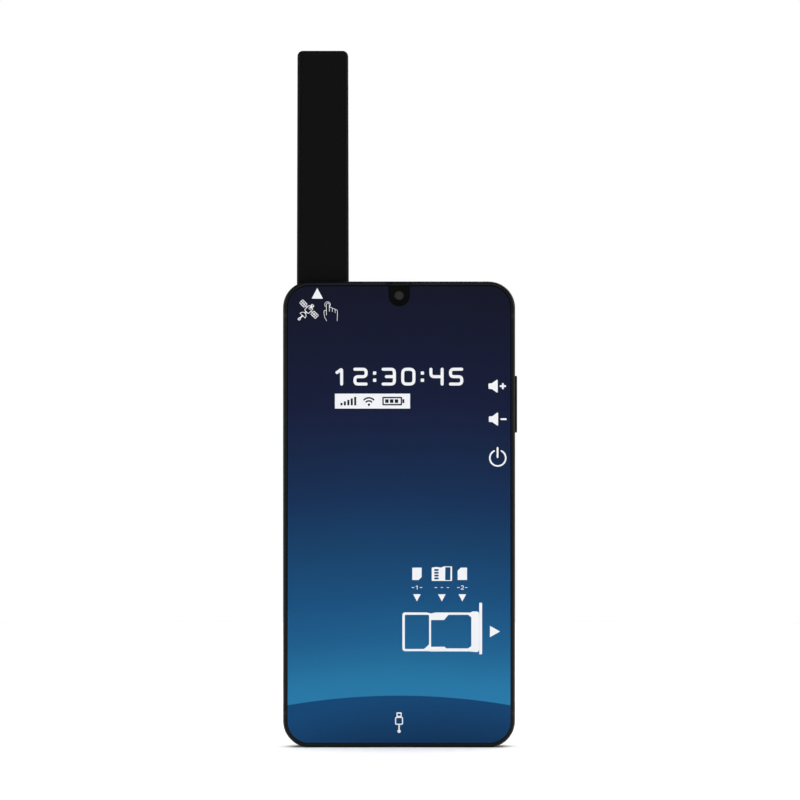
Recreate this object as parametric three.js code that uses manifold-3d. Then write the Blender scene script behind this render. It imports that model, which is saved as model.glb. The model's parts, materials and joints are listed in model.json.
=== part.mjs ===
// Satellite phone: a tall touch-screen phone with a flat bar antenna that slides up out of its top edge.
// Millimetres. X is the width, Y the depth with the screen facing -Y, and Z the height, with the bottom
// edge at Z 0. The antenna is drawn out.
import * as THREE from "three";
import { mergeVertices } from "three/addons/utils/BufferGeometryUtils.js";
import Module from "manifold-3d";

const wasm = await Module();
wasm.setup();

// ---------------------------------------------------------------- driving dimensions

const WIDTH = 84.7;
const HEIGHT = 170;
const CORNER = 9.5;
const CLEARANCE = 0.15; // round every piece that moves
const LAYER_GAP = 0.05; // between two pieces that lie on each other

// A layer of the stack, from its front face to its back face.
const layer = (front, thickness) => ({ front, back: front + thickness });
const behind = (other, gap, thickness) => layer(other.back + gap, thickness);

const FRAME = { front: -6.3, back: 5.1, lip: 1.38, shelf: 2.7, wall: 2.4 };
const FILM = layer(FRAME.front + 0.1, 0.18);
const FILM_INSET = 1.74; // from the phone's outer edge to the film's
const GLASS = behind(FILM, 0.04, 0.7);
const GLASS_INSET = FRAME.lip + 0.1;
const DISPLAY = behind(GLASS, LAYER_GAP, 1.2);
const DISPLAY_INSET = 2.9;
const MIDPLATE = behind(DISPLAY, LAYER_GAP, 0.6);
const BOARD = behind(MIDPLATE, 0.2, 0.8);
const COVER = layer(FRAME.back + LAYER_GAP, 1.15);
const BEZEL = { front: COVER.front + 0.15, back: COVER.back + 1.2 };
const INNER_RIGHT = WIDTH / 2 - FRAME.wall;

const NOTCH = { halfWidth: 3.9, bottom: 160.85 };
const FRONT_CAMERA = { x: 0, z: NOTCH.bottom + NOTCH.halfWidth, window: 1.9, barrel: 2.2, hole: 3, base: 6 };

const ANTENNA = {
  x: -27.9,
  top: 254.5,
  shellBottom: 160,
  footBottom: 155.5,
  tipHalf: 9.28,
  baseHalf: 9.53,
  front: -2.5,
  back: 3.7,
  corner: 2,
  edge: 1.7,
};
const HOLLOW = { half: 7.6, halfDepth: 1.9, bottom: 163, top: 251.6 }; // inside the antenna's two shells
const ELEMENT_SPARE = 0.4;
const TONGUE = { wall: 0.7, height: 0.9, spare: 0.12 }; // on the front shell, let into the rear one
ANTENNA.y = (ANTENNA.front + ANTENNA.back) / 2;
ANTENNA.halfDepth = (ANTENNA.back - ANTENNA.front) / 2;
const SLOT = { halfWidth: 9.75, halfDepth: ANTENNA.halfDepth + CLEARANCE, corner: 1.8 };
const CHANNEL = { bottom: 70.4, floor: 71.2, top: 162.6, wall: 0.8, skin: 0.5, corner: 2.2 };
const SPRING_WINDOW = { bottom: 154.4, top: 161.2, halfDepth: 1.3 };
const SEAL_TOP = 164.4;

const SIDE_Y = -0.4; // the middle of the side keys, the card tray and the socket, in depth
const VOLUME = { z: 125.2, length: 20.8, depth: 3, proud: 0.8, flange: 22.8 };
const POWER = { z: 105.8, length: 13, depth: 3, proud: -0.05, flange: 14.8 };
const KEY = { back: 38.9, flange: 0.6, flangeDepth: 4.2, corner: 1.1, edge: 0.25 };
const KEY_FLEX = { bottom: 98, top: 136.6, halfDepth: 1.7, thickness: 0.3 };
const KEY_BRACKET = { spare: 0.6, thickness: 0.6, back: 2.2 };
const DOME = { radius: 1.5, base: 37.7, height: 0.65, spread: 7.5 };

const TRAY = { z: 42.1, width: 14.4, left: 12.8, thickness: 0.9 };
const TRAY_HEAD = { z: 43.2, length: 19.4, depth: 3, thickness: 1.2, corner: 1.1 };
const PIN_HOLE = { radius: 0.5, inset: 1.7 }; // at the upper end of the tray's head
const CARD = { width: 8.8, length: 12.4, wideWidth: 14.6, rim: 1, between: 0.9, floor: 0.3 };

const SOCKET = { halfWidth: 4.47, halfDepth: 1.6, wall: 0.28, mouth: 0.4, length: 7.5, corner: 1.5 };

const BATTERY = { left: -15.6, right: 36.2, bottom: 57, top: 116, back: 4.2 };
const MAIN_BOARD = { left: -16.2, right: 36.2, bottom: 119, top: 165.5, corner: 3 };
const SUB_BOARD = { left: -37, right: 37, bottom: 4, top: 54, corner: 5 };
const TOP_MICROPHONE = { x: 22, bottom: 162, top: 165 };
const BOTTOM_MICROPHONE = { x: -13, bottom: 4.6, top: 7.6 };
const MICROPHONE = { halfWidth: 1.8, back: -1.1, hole: 0.5 };
const LOUDSPEAKER = { x: 25, z: 17.6, width: 24.6, height: 25, corner: 4, back: 4.4 };
const MOTOR = { x: -27, z: 38, radius: 5, back: 0.8 };
const REAR_CAMERAS = [
  { name: "main", x: 24, z: 155, barrel: 4.9, base: 11.4, window: 5.2 },
  { name: "wide", x: 24, z: 141.6, barrel: 4.2, base: 9.6, window: 4.6 },
  { name: "close", x: 20.6, z: 130.4, barrel: 2.1, base: 5.6, window: 2.5 },
];
const FLASH = { x: 27.8, z: 130.4, radius: 2.2 };
const BUMP = { x: 24, z: 143.4, width: 17.6, height: 38.4, corner: 6 };
const WINDOW = { thickness: 0.65, sunk: 0.15, spare: 0.1 }; // the clear windows in that plate

// ---------------------------------------------------------------- finishes

const finish = (color, roughness, metalness) => ({ color, roughness, metalness });
const FRAME_METAL = finish(0x1e1f23, 0.42, 0.7);
const BACK_SHELL = finish(0x17181b, 0.55, 0);
const ANTENNA_PLASTIC = finish(0x131314, 0.6, 0);
const BLACK_GLASS = finish(0x050507, 0.08, 0);
const FILM_BLUE = finish(0x1c3a66, 0.35, 0);
const DARK_PLASTIC = finish(0x1a1a1d, 0.6, 0);
const BLACK_RUBBER = finish(0x0d0d0e, 0.8, 0);
const STEEL = finish(0xb8babd, 0.35, 1);
const COPPER_GOLD = finish(0xc79a4a, 0.35, 1);
const BOARD_GREEN = finish(0x16402c, 0.55, 0);
const FLEX_AMBER = finish(0x8a4a14, 0.5, 0);
const CELL_FOIL = finish(0x2b2d31, 0.4, 0.3);
const WHITE_PLASTIC = finish(0xe4e2da, 0.5, 0);

// ---------------------------------------------------------------- shape helpers

const AXIS_X = new THREE.Vector3(1, 0, 0);
const AXIS_Y = new THREE.Vector3(0, 1, 0);
const AXIS_Z = new THREE.Vector3(0, 0, 1);
const basis = (across, up, along) => new THREE.Matrix4().makeBasis(across, up, along);
// Where an outline's own two axes and its extrusion point, for an extrusion along X, Y or Z.
const PLANES = {
  x: basis(AXIS_Y, AXIS_Z, AXIS_X),
  y: basis(AXIS_X, AXIS_Z, AXIS_Y.clone().negate()),
  z: basis(AXIS_X, AXIS_Y, AXIS_Z),
};

// Extrudes an outline along an axis. The edges of both ends are rounded by edge across and depth along.
function extrude(axis, shape, from, to, { edge = 0, depth = edge, steps = 3, arc = 3 } = {}) {
  const geometry = new THREE.ExtrudeGeometry(shape, {
    depth: to - from - 2 * depth,
    bevelEnabled: edge > 0,
    bevelSize: edge,
    bevelOffset: -edge,
    bevelThickness: depth,
    bevelSegments: steps,
    curveSegments: arc,
  });
  const start = axis === "y" ? -to : from;
  return geometry.translate(0, 0, start + depth).applyMatrix4(PLANES[axis]);
}

// A rectangle with rounded corners about a middle point in its own plane.
function roundedRect(width, height, radius, across = 0, up = 0) {
  const right = across + width / 2 - radius;
  const left = across - width / 2 + radius;
  const top = up + height / 2 - radius;
  const bottom = up - height / 2 + radius;
  const quarter = Math.PI / 2;
  const shape = new THREE.Shape();
  shape.absarc(right, top, radius, 0, quarter);
  shape.absarc(left, top, radius, quarter, 2 * quarter);
  shape.absarc(left, bottom, radius, 2 * quarter, 3 * quarter);
  shape.absarc(right, bottom, radius, 3 * quarter, 4 * quarter);
  return shape;
}

// The phone's front outline, drawn in from its outer edge.
function phoneOutline(inset) {
  return roundedRect(WIDTH - 2 * inset, HEIGHT - 2 * inset, CORNER - inset, 0, HEIGHT / 2);
}

// A straight-sided outline through a few points.
const polygon = (points) => new THREE.Shape(points.map(([across, up]) => new THREE.Vector2(across, up)));

// A box between two limits along each axis.
function block([left, right], [front, back], [bottom, top]) {
  const geometry = new THREE.BoxGeometry(right - left, back - front, top - bottom);
  return geometry.translate((left + right) / 2, (front + back) / 2, (bottom + top) / 2);
}

// A round bar along an axis, between two places on it, through the point [x, y, z].
function bar(axis, radius, from, to, [x, y, z], sides = 16) {
  const geometry = new THREE.CylinderGeometry(radius, radius, to - from, sides);
  const middle = (from + to) / 2;
  if (axis === "x") return geometry.rotateZ(Math.PI / 2).translate(middle, y, z);
  if (axis === "z") return geometry.rotateX(Math.PI / 2).translate(x, y, middle);
  return geometry.translate(x, middle, z);
}

function bodyOf(shape) {
  if (!shape.isBufferGeometry) return shape;
  const bare = shape.clone();
  bare.deleteAttribute("normal");
  bare.deleteAttribute("uv");
  const merged = mergeVertices(bare, 1e-4);
  const vertProperties = new Float32Array(merged.attributes.position.array);
  const triVerts = new Uint32Array(merged.index.array);
  return new wasm.Manifold(new wasm.Mesh({ numProp: 3, vertProperties, triVerts }));
}

function geometryOf(body) {
  const { vertProperties, triVerts } = body.getMesh();
  const geometry = new THREE.BufferGeometry();
  geometry.setAttribute("position", new THREE.BufferAttribute(vertProperties, 3));
  geometry.setIndex(new THREE.BufferAttribute(triVerts, 1));
  return geometry.toNonIndexed();
}

const cut = (shape, ...tools) => tools.reduce((body, tool) => body.subtract(bodyOf(tool)), bodyOf(shape));
const join = (shape, ...others) => others.reduce((body, other) => body.add(bodyOf(other)), bodyOf(shape));
const common = (shape, other) => bodyOf(shape).intersect(bodyOf(other));

const phone = new THREE.Group();
phone.name = "satellite_phone";

function add(name, shape, { color, roughness, metalness }) {
  const geometry = shape.isBufferGeometry ? shape : geometryOf(shape);
  geometry.computeVertexNormals();
  const mesh = new THREE.Mesh(geometry, new THREE.MeshStandardMaterial({ color, roughness, metalness }));
  mesh.name = name;
  phone.add(mesh);
}

// ---------------------------------------------------------------- frame

const SCREWS = {
  main_board_screw_1: [-13.9, 121.6],
  main_board_screw_2: [-13.9, 162.8],
  main_board_screw_3: [14.4, 121.6],
  main_board_screw_4: [33.4, 160.6],
  sub_board_screw_1: [-34, 50.6],
  sub_board_screw_2: [-34, 10.5],
  sub_board_screw_3: [8, 50.6],
  sub_board_screw_4: [8.4, 11.5],
  channel_screw: [ANTENNA.x, 66.4],
};
const SCREW = { shank: 0.75, hole: 0.95, head: 1.5, headHeight: 0.7 };
const screwHoles = Object.values(SCREWS).map(([x, z]) =>
  bar("y", SCREW.hole, MIDPLATE.front - 1, BOARD.back + 1, [x, 0, z], 12),
);
const DISPLAY_SLOT = { left: 23.4, right: 34.6, bottom: 116.7, top: 118 };
const EARPIECE = { left: 5, right: 17, bottom: 161.6, top: 166.4 };
const EARPIECE_SLIT = { halfWidth: 4.6, height: 0.7, depth: 0.9 };
const GRILLE = { first: 16, pitch: 2.6, count: 6, radius: 0.7 };

// The opening in the frame that the antenna slides through.
function slotColumn(bottom, top) {
  const shape = roundedRect(2 * SLOT.halfWidth, 2 * SLOT.halfDepth, SLOT.corner, ANTENNA.x, ANTENNA.y);
  return extrude("z", shape, bottom, top);
}

// A side key's window in the frame's right wall.
function keyWindow(key) {
  const depth = key.depth + 2 * CLEARANCE;
  const shape = roundedRect(depth, key.length + 2 * CLEARANCE, KEY.corner + 0.1, SIDE_Y, key.z);
  return extrude("x", shape, INNER_RIGHT - 1, WIDTH / 2 + 1);
}

function trayWindows() {
  const head = roundedRect(
    TRAY_HEAD.depth + 2 * CLEARANCE,
    TRAY_HEAD.length + 2 * CLEARANCE,
    TRAY_HEAD.corner + 0.1,
    SIDE_Y,
    TRAY_HEAD.z,
  );
  const headWindow = extrude("x", head, INNER_RIGHT + 0.35, WIDTH / 2 + 1);
  const halfThickness = TRAY.thickness / 2 + 0.2;
  const halfWidth = TRAY.width / 2 + 0.2;
  const bladeWindow = block(
    [INNER_RIGHT - 1, INNER_RIGHT + 1],
    [SIDE_Y - halfThickness, SIDE_Y + halfThickness],
    [TRAY.z - halfWidth, TRAY.z + halfWidth],
  );
  return [headWindow, bladeWindow];
}

function grilleHoles() {
  const holes = [];
  for (let i = 0; i < GRILLE.count; i += 1) {
    const x = GRILLE.first + i * GRILLE.pitch;
    holes.push(bar("z", GRILLE.radius, -1, FRAME.wall + 1, [x, SIDE_Y, 0], 12));
  }
  return holes;
}

const microphoneHoles = [
  bar("z", MICROPHONE.hole, -1, FRAME.wall + 1, [BOTTOM_MICROPHONE.x, SIDE_Y, 0], 10),
  bar("z", MICROPHONE.hole, HEIGHT - FRAME.wall - 1, HEIGHT + 1, [TOP_MICROPHONE.x, SIDE_Y, 0], 10),
];

const socketShape = (grow) =>
  roundedRect(2 * (SOCKET.halfWidth + grow), 2 * (SOCKET.halfDepth + grow), SOCKET.corner + grow, 0, SIDE_Y);

const frameRound = { edge: 1, depth: 1.9, steps: 4, arc: 6 };
const frameBlank = extrude("y", phoneOutline(0), FRAME.front, FRAME.back, frameRound);
const frontCameraAt = [FRONT_CAMERA.x, 0, FRONT_CAMERA.z];
add(
  "mid_frame",
  cut(
    frameBlank,
    extrude("y", phoneOutline(FRAME.lip), FRAME.front - 1, DISPLAY.front, { arc: 6 }),
    extrude("y", phoneOutline(FRAME.shelf), FRAME.front - 1, MIDPLATE.front, { arc: 6 }),
    extrude("y", phoneOutline(FRAME.wall), MIDPLATE.back, FRAME.back + 1, { arc: 6 }),
    slotColumn(CHANNEL.top, HEIGHT + 1),
    keyWindow(VOLUME),
    keyWindow(POWER),
    ...trayWindows(),
    ...grilleHoles(),
    ...microphoneHoles,
    extrude("z", socketShape(0.15), -1, FRAME.wall + 1),
    ...screwHoles,
    bar("y", FRONT_CAMERA.hole, MIDPLATE.front - 1, MIDPLATE.back + 1, frontCameraAt, 20),
    block(
      [DISPLAY_SLOT.left, DISPLAY_SLOT.right],
      [MIDPLATE.front - 1, MIDPLATE.back + 1],
      [DISPLAY_SLOT.bottom, DISPLAY_SLOT.top],
    ),
    block(
      [-EARPIECE_SLIT.halfWidth, EARPIECE_SLIT.halfWidth],
      [FRAME.front - 1, FRAME.front + EARPIECE_SLIT.depth],
      [HEIGHT - FRAME.lip - 1, HEIGHT - FRAME.lip + EARPIECE_SLIT.height],
    ),
  ),
  FRAME_METAL,
);

const meshBottom = HEIGHT - FRAME.lip + 0.05;
add(
  "earpiece_mesh",
  block(
    [0.1 - EARPIECE_SLIT.halfWidth, EARPIECE_SLIT.halfWidth - 0.1],
    [FRAME.front + 0.25, FRAME.front + EARPIECE_SLIT.depth - LAYER_GAP],
    [meshBottom, meshBottom + EARPIECE_SLIT.height - 0.1],
  ),
  DARK_PLASTIC,
);

// ---------------------------------------------------------------- front: film, glass and display

// The U that the film and the display leave open round the front camera.
function notch(spare) {
  const halfWidth = NOTCH.halfWidth + spare;
  const shape = new THREE.Shape();
  shape.moveTo(halfWidth, HEIGHT);
  shape.lineTo(-halfWidth, HEIGHT);
  shape.absarc(FRONT_CAMERA.x, FRONT_CAMERA.z, halfWidth, Math.PI, 2 * Math.PI);
  return extrude("y", shape, FRAME.front - 1, MIDPLATE.front, { arc: 6 });
}

// A sheet of the front's stack, with the phone's outline drawn in by an inset.
function sheet(inset, { front, back }) {
  return extrude("y", phoneOutline(inset), front, back, { arc: 6 });
}

add("screen_film", cut(sheet(FILM_INSET, FILM), notch(0)), FILM_BLUE);
add(
  "cover_glass",
  cut(
    sheet(GLASS_INSET, GLASS),
    bar("y", FRONT_CAMERA.window + 0.1, GLASS.front - 1, GLASS.back + 1, frontCameraAt, 24),
  ),
  BLACK_GLASS,
);
add(
  "front_camera_lens",
  bar("y", FRONT_CAMERA.window, GLASS.front + 0.15, GLASS.back - 0.1, frontCameraAt, 24),
  BLACK_GLASS,
);
const cameraHalf = FRONT_CAMERA.base / 2;
add(
  "front_camera",
  join(
    bar("y", FRONT_CAMERA.barrel, GLASS.back + 0.1, MIDPLATE.back + 0.3, frontCameraAt, 20),
    block(
      [-cameraHalf, cameraHalf],
      [MIDPLATE.back + 0.2, MIDPLATE.back + 2.6],
      [FRONT_CAMERA.z - cameraHalf, FRONT_CAMERA.z + cameraHalf - 0.3],
    ),
  ),
  DARK_PLASTIC,
);
add("display_panel", cut(sheet(DISPLAY_INSET, DISPLAY), notch(0.3)), DARK_PLASTIC);

// ---------------------------------------------------------------- back: cover and cameras

// The plate that frames the rear cameras, and the opening for it in the cover.
function bumpOutline(grow) {
  return roundedRect(BUMP.width + 2 * grow, BUMP.height + 2 * grow, BUMP.corner + grow, BUMP.x, BUMP.z);
}

const coverRound = { edge: 0.9, depth: 0.9, steps: 3, arc: 6 };
const coverBlank = extrude("y", phoneOutline(FRAME.lip), COVER.front - 1, COVER.back, coverRound);
const bezelRound = { edge: 0.4, depth: 0.5, steps: 2, arc: 4 };
const bezelSpan = [BEZEL.front - 1, BEZEL.back + 1];
const windowSpan = [BEZEL.back - WINDOW.sunk - WINDOW.thickness, BEZEL.back - WINDOW.sunk];
add(
  "rear_cover",
  cut(
    coverBlank,
    block([-WIDTH, WIDTH], [COVER.front - 2, COVER.front], [-1, HEIGHT + 1]),
    extrude("y", bumpOutline(CLEARANCE), COVER.front - 1, COVER.back + 1, { arc: 4 }),
  ),
  BACK_SHELL,
);

add(
  "rear_camera_bezel",
  cut(
    extrude("y", bumpOutline(0), BEZEL.front, BEZEL.back, bezelRound),
    ...REAR_CAMERAS.map(({ x, z, window }) => bar("y", window + WINDOW.spare, ...bezelSpan, [x, 0, z], 28)),
    bar("y", FLASH.radius + WINDOW.spare, ...bezelSpan, [FLASH.x, 0, FLASH.z], 20),
  ),
  FRAME_METAL,
);

for (const { name, x, z, barrel, base, window } of REAR_CAMERAS) {
  const at = [x, 0, z];
  add(`rear_camera_${name}_window`, bar("y", window, ...windowSpan, at, 28), BLACK_GLASS);
  const baseBlock = block(
    [x - base / 2, x + base / 2],
    [BOARD.back + 0.2, COVER.front - 1],
    [z - base / 2, z + base / 2],
  );
  const barrelBar = bar("y", barrel, COVER.front - 1.5, windowSpan[0] - 0.1, at, 24);
  add(`rear_camera_${name}`, join(baseBlock, barrelBar), DARK_PLASTIC);
}
const flashAt = [FLASH.x, 0, FLASH.z];
add("flash_window", bar("y", FLASH.radius, BEZEL.front - 0.6, windowSpan[1], flashAt, 20), WHITE_PLASTIC);

// ---------------------------------------------------------------- antenna and its channel

// The antenna's front outline, a little wider at its foot than at its tip.
function antennaOutline() {
  const { x, top, shellBottom, tipHalf, baseHalf, corner, edge } = ANTENNA;
  const shape = new THREE.Shape();
  shape.moveTo(x - baseHalf, shellBottom - 2 * edge);
  shape.lineTo(x + baseHalf, shellBottom - 2 * edge);
  shape.absarc(x + tipHalf - corner, top - corner, corner, 0, Math.PI / 2);
  shape.absarc(x - tipHalf + corner, top - corner, corner, Math.PI / 2, Math.PI);
  return shape;
}

const antennaRound = { edge: ANTENNA.edge, depth: 1.9, steps: 4, arc: 3 };
const antennaBlank = extrude("y", antennaOutline(), ANTENNA.front, ANTENNA.back, antennaRound);
const shellSpan = [ANTENNA.x - 20, ANTENNA.x + 20];
const shellHeight = [ANTENNA.shellBottom, ANTENNA.top + 1];
const partingGap = 0.03; // each shell's face stays this far from the parting plane
const frontHalf = block(shellSpan, [ANTENNA.front - 1, ANTENNA.y - partingGap], shellHeight);
const rearHalf = block(shellSpan, [ANTENNA.y + partingGap, ANTENNA.back + 1], shellHeight);

// A box about the shells' hollow, grown at its sides and ends, between two depths.
function hollowBlock(grow, depth) {
  const half = HOLLOW.half + grow;
  return block([ANTENNA.x - half, ANTENNA.x + half], depth, [HOLLOW.bottom - grow, HOLLOW.top + grow]);
}

const shellHollow = hollowBlock(0, [ANTENNA.y - HOLLOW.halfDepth, ANTENNA.y + HOLLOW.halfDepth]);
const tongue = hollowBlock(TONGUE.wall, [ANTENNA.y - 1, ANTENNA.y + TONGUE.height]);
const grooveTop = ANTENNA.y + TONGUE.height + TONGUE.spare;
const groove = hollowBlock(TONGUE.wall + TONGUE.spare, [ANTENNA.y - 1, grooveTop]);
add("antenna_front_shell", cut(join(common(antennaBlank, frontHalf), tongue), shellHollow), ANTENNA_PLASTIC);
add("antenna_rear_shell", cut(common(antennaBlank, rearHalf), groove, shellHollow), ANTENNA_PLASTIC);
const elementHalfDepth = HOLLOW.halfDepth - ELEMENT_SPARE;
add(
  "antenna_element",
  hollowBlock(-ELEMENT_SPARE, [ANTENNA.y - elementHalfDepth, ANTENNA.y + elementHalfDepth]),
  COPPER_GOLD,
);

const FOOT_HALF = ANTENNA.baseHalf - 0.13;
const FOOT_TOP = ANTENNA.shellBottom - LAYER_GAP;
const PAD = { bottom: 156.3, top: 158.9, halfDepth: 1.2, thickness: 0.4 };
const DETENT = { bottom: 156.8, top: 158.6, halfDepth: 1.4, depth: 0.5 }; // the notch for the spring's crest
const padDepth = [ANTENNA.y - PAD.halfDepth, ANTENNA.y + PAD.halfDepth];
const footRight = ANTENNA.x + FOOT_HALF;
const footLeft = ANTENNA.x - FOOT_HALF;
const footShape = roundedRect(2 * FOOT_HALF, 2 * ANTENNA.halfDepth - 0.2, 1.7, ANTENNA.x, ANTENNA.y);
add(
  "antenna_foot",
  cut(
    extrude("z", footShape, ANTENNA.footBottom, FOOT_TOP),
    block(
      [footRight - PAD.thickness - 0.1, footRight + 1],
      [padDepth[0] - 0.1, padDepth[1] + 0.1],
      [PAD.bottom - 0.1, PAD.top + 0.1],
    ),
    block(
      [footLeft - 1, footLeft + DETENT.depth],
      [ANTENNA.y - DETENT.halfDepth, ANTENNA.y + DETENT.halfDepth],
      [DETENT.bottom, DETENT.top],
    ),
  ),
  BLACK_RUBBER,
);
add(
  "antenna_contact_pad",
  block([footRight - PAD.thickness, footRight - 0.05], padDepth, [PAD.bottom, PAD.top]),
  COPPER_GOLD,
);

const channelShape = (halfWidth, halfDepth, corner) =>
  roundedRect(2 * halfWidth, 2 * halfDepth, corner, ANTENNA.x, ANTENNA.y);
const channelHalf = SLOT.halfWidth + CHANNEL.wall;
const channelOuter = channelShape(channelHalf, SLOT.halfDepth + CHANNEL.skin, CHANNEL.corner);
const springDepth = [ANTENNA.y - SPRING_WINDOW.halfDepth, ANTENNA.y + SPRING_WINDOW.halfDepth];
const springHeight = [SPRING_WINDOW.bottom, SPRING_WINDOW.top];
const TAB = { halfWidth: 5, bottom: 63.4 };
add(
  "antenna_channel",
  cut(
    join(
      extrude("z", channelOuter, CHANNEL.bottom, CHANNEL.top),
      block(
        [ANTENNA.x - TAB.halfWidth, ANTENNA.x + TAB.halfWidth],
        [BOARD.front + 0.1, BOARD.back],
        [TAB.bottom, CHANNEL.bottom + 0.4],
      ),
    ),
    slotColumn(CHANNEL.floor, CHANNEL.top + 1),
    block([ANTENNA.x + SLOT.halfWidth - 1, ANTENNA.x + channelHalf + 1], springDepth, springHeight),
    block([ANTENNA.x - channelHalf - 1, ANTENNA.x - SLOT.halfWidth + 1], springDepth, springHeight),
    screwHoles.at(-1),
  ),
  DARK_PLASTIC,
);
add(
  "antenna_slot_seal",
  cut(
    extrude("z", channelShape(channelHalf - 0.15, SLOT.halfDepth + 0.3, 2), CHANNEL.top + 0.2, SEAL_TOP),
    extrude("z", channelShape(SLOT.halfWidth - 0.1, SLOT.halfDepth - 0.05, 1.75), CHANNEL.top, SEAL_TOP + 1),
  ),
  BLACK_RUBBER,
);

// A leaf outside the channel's left wall. Its crest reaches through the wall to the notch in the foot.
const leafX = ANTENNA.x - channelHalf - 0.5;
const crestX = footLeft - 0.3;
const detentLeaf = polygon([
  [leafX, 140],
  [leafX + 0.25, 140],
  [leafX + 0.25, 156.2],
  [crestX, 157.5],
  [crestX, 157.9],
  [leafX + 0.25, 159.2],
  [leafX + 0.25, 160.6],
  [leafX, 160.6],
  [leafX, 159.1],
  [crestX - 0.25, 157.8],
  [crestX - 0.25, 157.6],
  [leafX, 156.3],
]);
add("antenna_detent_spring", extrude("y", detentLeaf, ANTENNA.y - 1.1, ANTENNA.y + 1.1), STEEL);

// A bent strip from the main board's left edge, through the channel's right wall, to the foot's pad.
const tipX = ANTENNA.x + ANTENNA.baseHalf + 0.12;
const contactStrip = polygon([
  [MAIN_BOARD.left + 1.9, BOARD.back + LAYER_GAP],
  [MAIN_BOARD.left + 1.9, BOARD.back + 0.25],
  [MAIN_BOARD.left + 0.4, BOARD.back + 0.25],
  [MAIN_BOARD.left + 0.4, ANTENNA.y + 0.7],
  [tipX + 0.3, ANTENNA.y + 0.7],
  [tipX, ANTENNA.y + 0.4],
  [tipX, ANTENNA.y - 0.4],
  [tipX + 0.2, ANTENNA.y - 0.4],
  [tipX + 0.2, ANTENNA.y + 0.3],
  [tipX + 0.4, ANTENNA.y + 0.5],
  [MAIN_BOARD.left + 0.2, ANTENNA.y + 0.5],
  [MAIN_BOARD.left + 0.2, BOARD.back + LAYER_GAP],
]);
add("antenna_contact_spring", extrude("z", contactStrip, 156.4, 158.8), COPPER_GOLD);

// ---------------------------------------------------------------- side keys

// A key's cap in its window, and the flange behind the wall that keeps it in.
function sideKey(key) {
  const outer = WIDTH / 2 + key.proud;
  const capShape = roundedRect(key.depth, key.length, KEY.corner, SIDE_Y, key.z);
  const cap = extrude("x", capShape, KEY.back, outer, { edge: KEY.edge, steps: 2 });
  const flangeDepth = [SIDE_Y - KEY.flangeDepth / 2, SIDE_Y + KEY.flangeDepth / 2];
  const flangeHeight = [key.z - key.flange / 2, key.z + key.flange / 2];
  return join(cap, block([KEY.back, KEY.back + KEY.flange], flangeDepth, flangeHeight));
}

add("volume_rocker", sideKey(VOLUME), FRAME_METAL);
add("power_key", sideKey(POWER), FRAME_METAL);

// A snap dome: a shallow metal cap that clicks when a key presses it.
function snapDome(z) {
  const { radius, base, height } = DOME;
  const profile = [[0, 0], [radius, 0], [radius, 0.12], [radius * 0.6, height * 0.85], [0, height]];
  const geometry = new THREE.LatheGeometry(profile.map(([r, h]) => new THREE.Vector2(r, h)), 14);
  return geometry.rotateZ(-Math.PI / 2).translate(base, SIDE_Y, z);
}

add("volume_up_dome", snapDome(VOLUME.z + DOME.spread), STEEL);
add("volume_down_dome", snapDome(VOLUME.z - DOME.spread), STEEL);
add("power_dome", snapDome(POWER.z), STEEL);
const flexRight = DOME.base - LAYER_GAP;
const flexLeft = flexRight - KEY_FLEX.thickness;
const flexDepth = [SIDE_Y - KEY_FLEX.halfDepth, SIDE_Y + KEY_FLEX.halfDepth];
add("side_key_flex", block([flexLeft, flexRight], flexDepth, [KEY_FLEX.bottom, KEY_FLEX.top]), FLEX_AMBER);
const bracketRight = flexLeft - LAYER_GAP;
const bracketLeft = bracketRight - KEY_BRACKET.thickness;
const bracketHeight = [KEY_FLEX.bottom - KEY_BRACKET.spare, KEY_FLEX.top + KEY_BRACKET.spare];
const bracketFoot = [BOARD.front, BOARD.front + KEY_BRACKET.thickness];
add(
  "side_key_bracket",
  join(
    block([bracketLeft, bracketRight], [BOARD.front, SIDE_Y + KEY_BRACKET.back], bracketHeight),
    block([bracketLeft, INNER_RIGHT - 0.3], bracketFoot, bracketHeight),
  ),
  STEEL,
);

// ---------------------------------------------------------------- card tray

const trayDepth = [SIDE_Y - TRAY.thickness / 2, SIDE_Y + TRAY.thickness / 2];
const trayHeight = [TRAY.z - TRAY.width / 2, TRAY.z + TRAY.width / 2];
const headRight = WIDTH / 2 - 0.05;
const headLeft = headRight - TRAY_HEAD.thickness;
const cardHeight = [TRAY.z - CARD.length / 2, TRAY.z + CARD.length / 2];
const firstLeft = TRAY.left + CARD.rim;
const firstCard = [firstLeft, firstLeft + CARD.width];
const secondLeft = firstCard[1] + CARD.between;
const secondCard = [secondLeft, secondLeft + CARD.wideWidth];
const pocketDepth = [trayDepth[0] + CARD.floor, trayDepth[1] + 1];
const narrowed = ([low, high], by) => [low + by, high - by];
const trayPockets = [firstCard, secondCard].flatMap((span) => [
  block(span, pocketDepth, cardHeight),
  block(narrowed(span, CARD.rim), narrowed(trayDepth, -1), narrowed(cardHeight, CARD.rim)),
]);
const headShape = roundedRect(TRAY_HEAD.depth, TRAY_HEAD.length, TRAY_HEAD.corner, SIDE_Y, TRAY_HEAD.z);
const pinZ = TRAY_HEAD.z + TRAY_HEAD.length / 2 - PIN_HOLE.inset;
const pinHole = bar("x", PIN_HOLE.radius, headLeft - 1, headRight + 1, [0, SIDE_Y, pinZ], 12);
add(
  "sim_tray",
  cut(
    join(
      block([TRAY.left, headLeft + 0.2], trayDepth, trayHeight),
      extrude("x", headShape, headLeft, headRight, { edge: 0.2, depth: 0.2, steps: 1, arc: 3 }),
    ),
    ...trayPockets,
    pinHole,
  ),
  FRAME_METAL,
);
const gasketRight = headLeft - LAYER_GAP;
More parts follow.
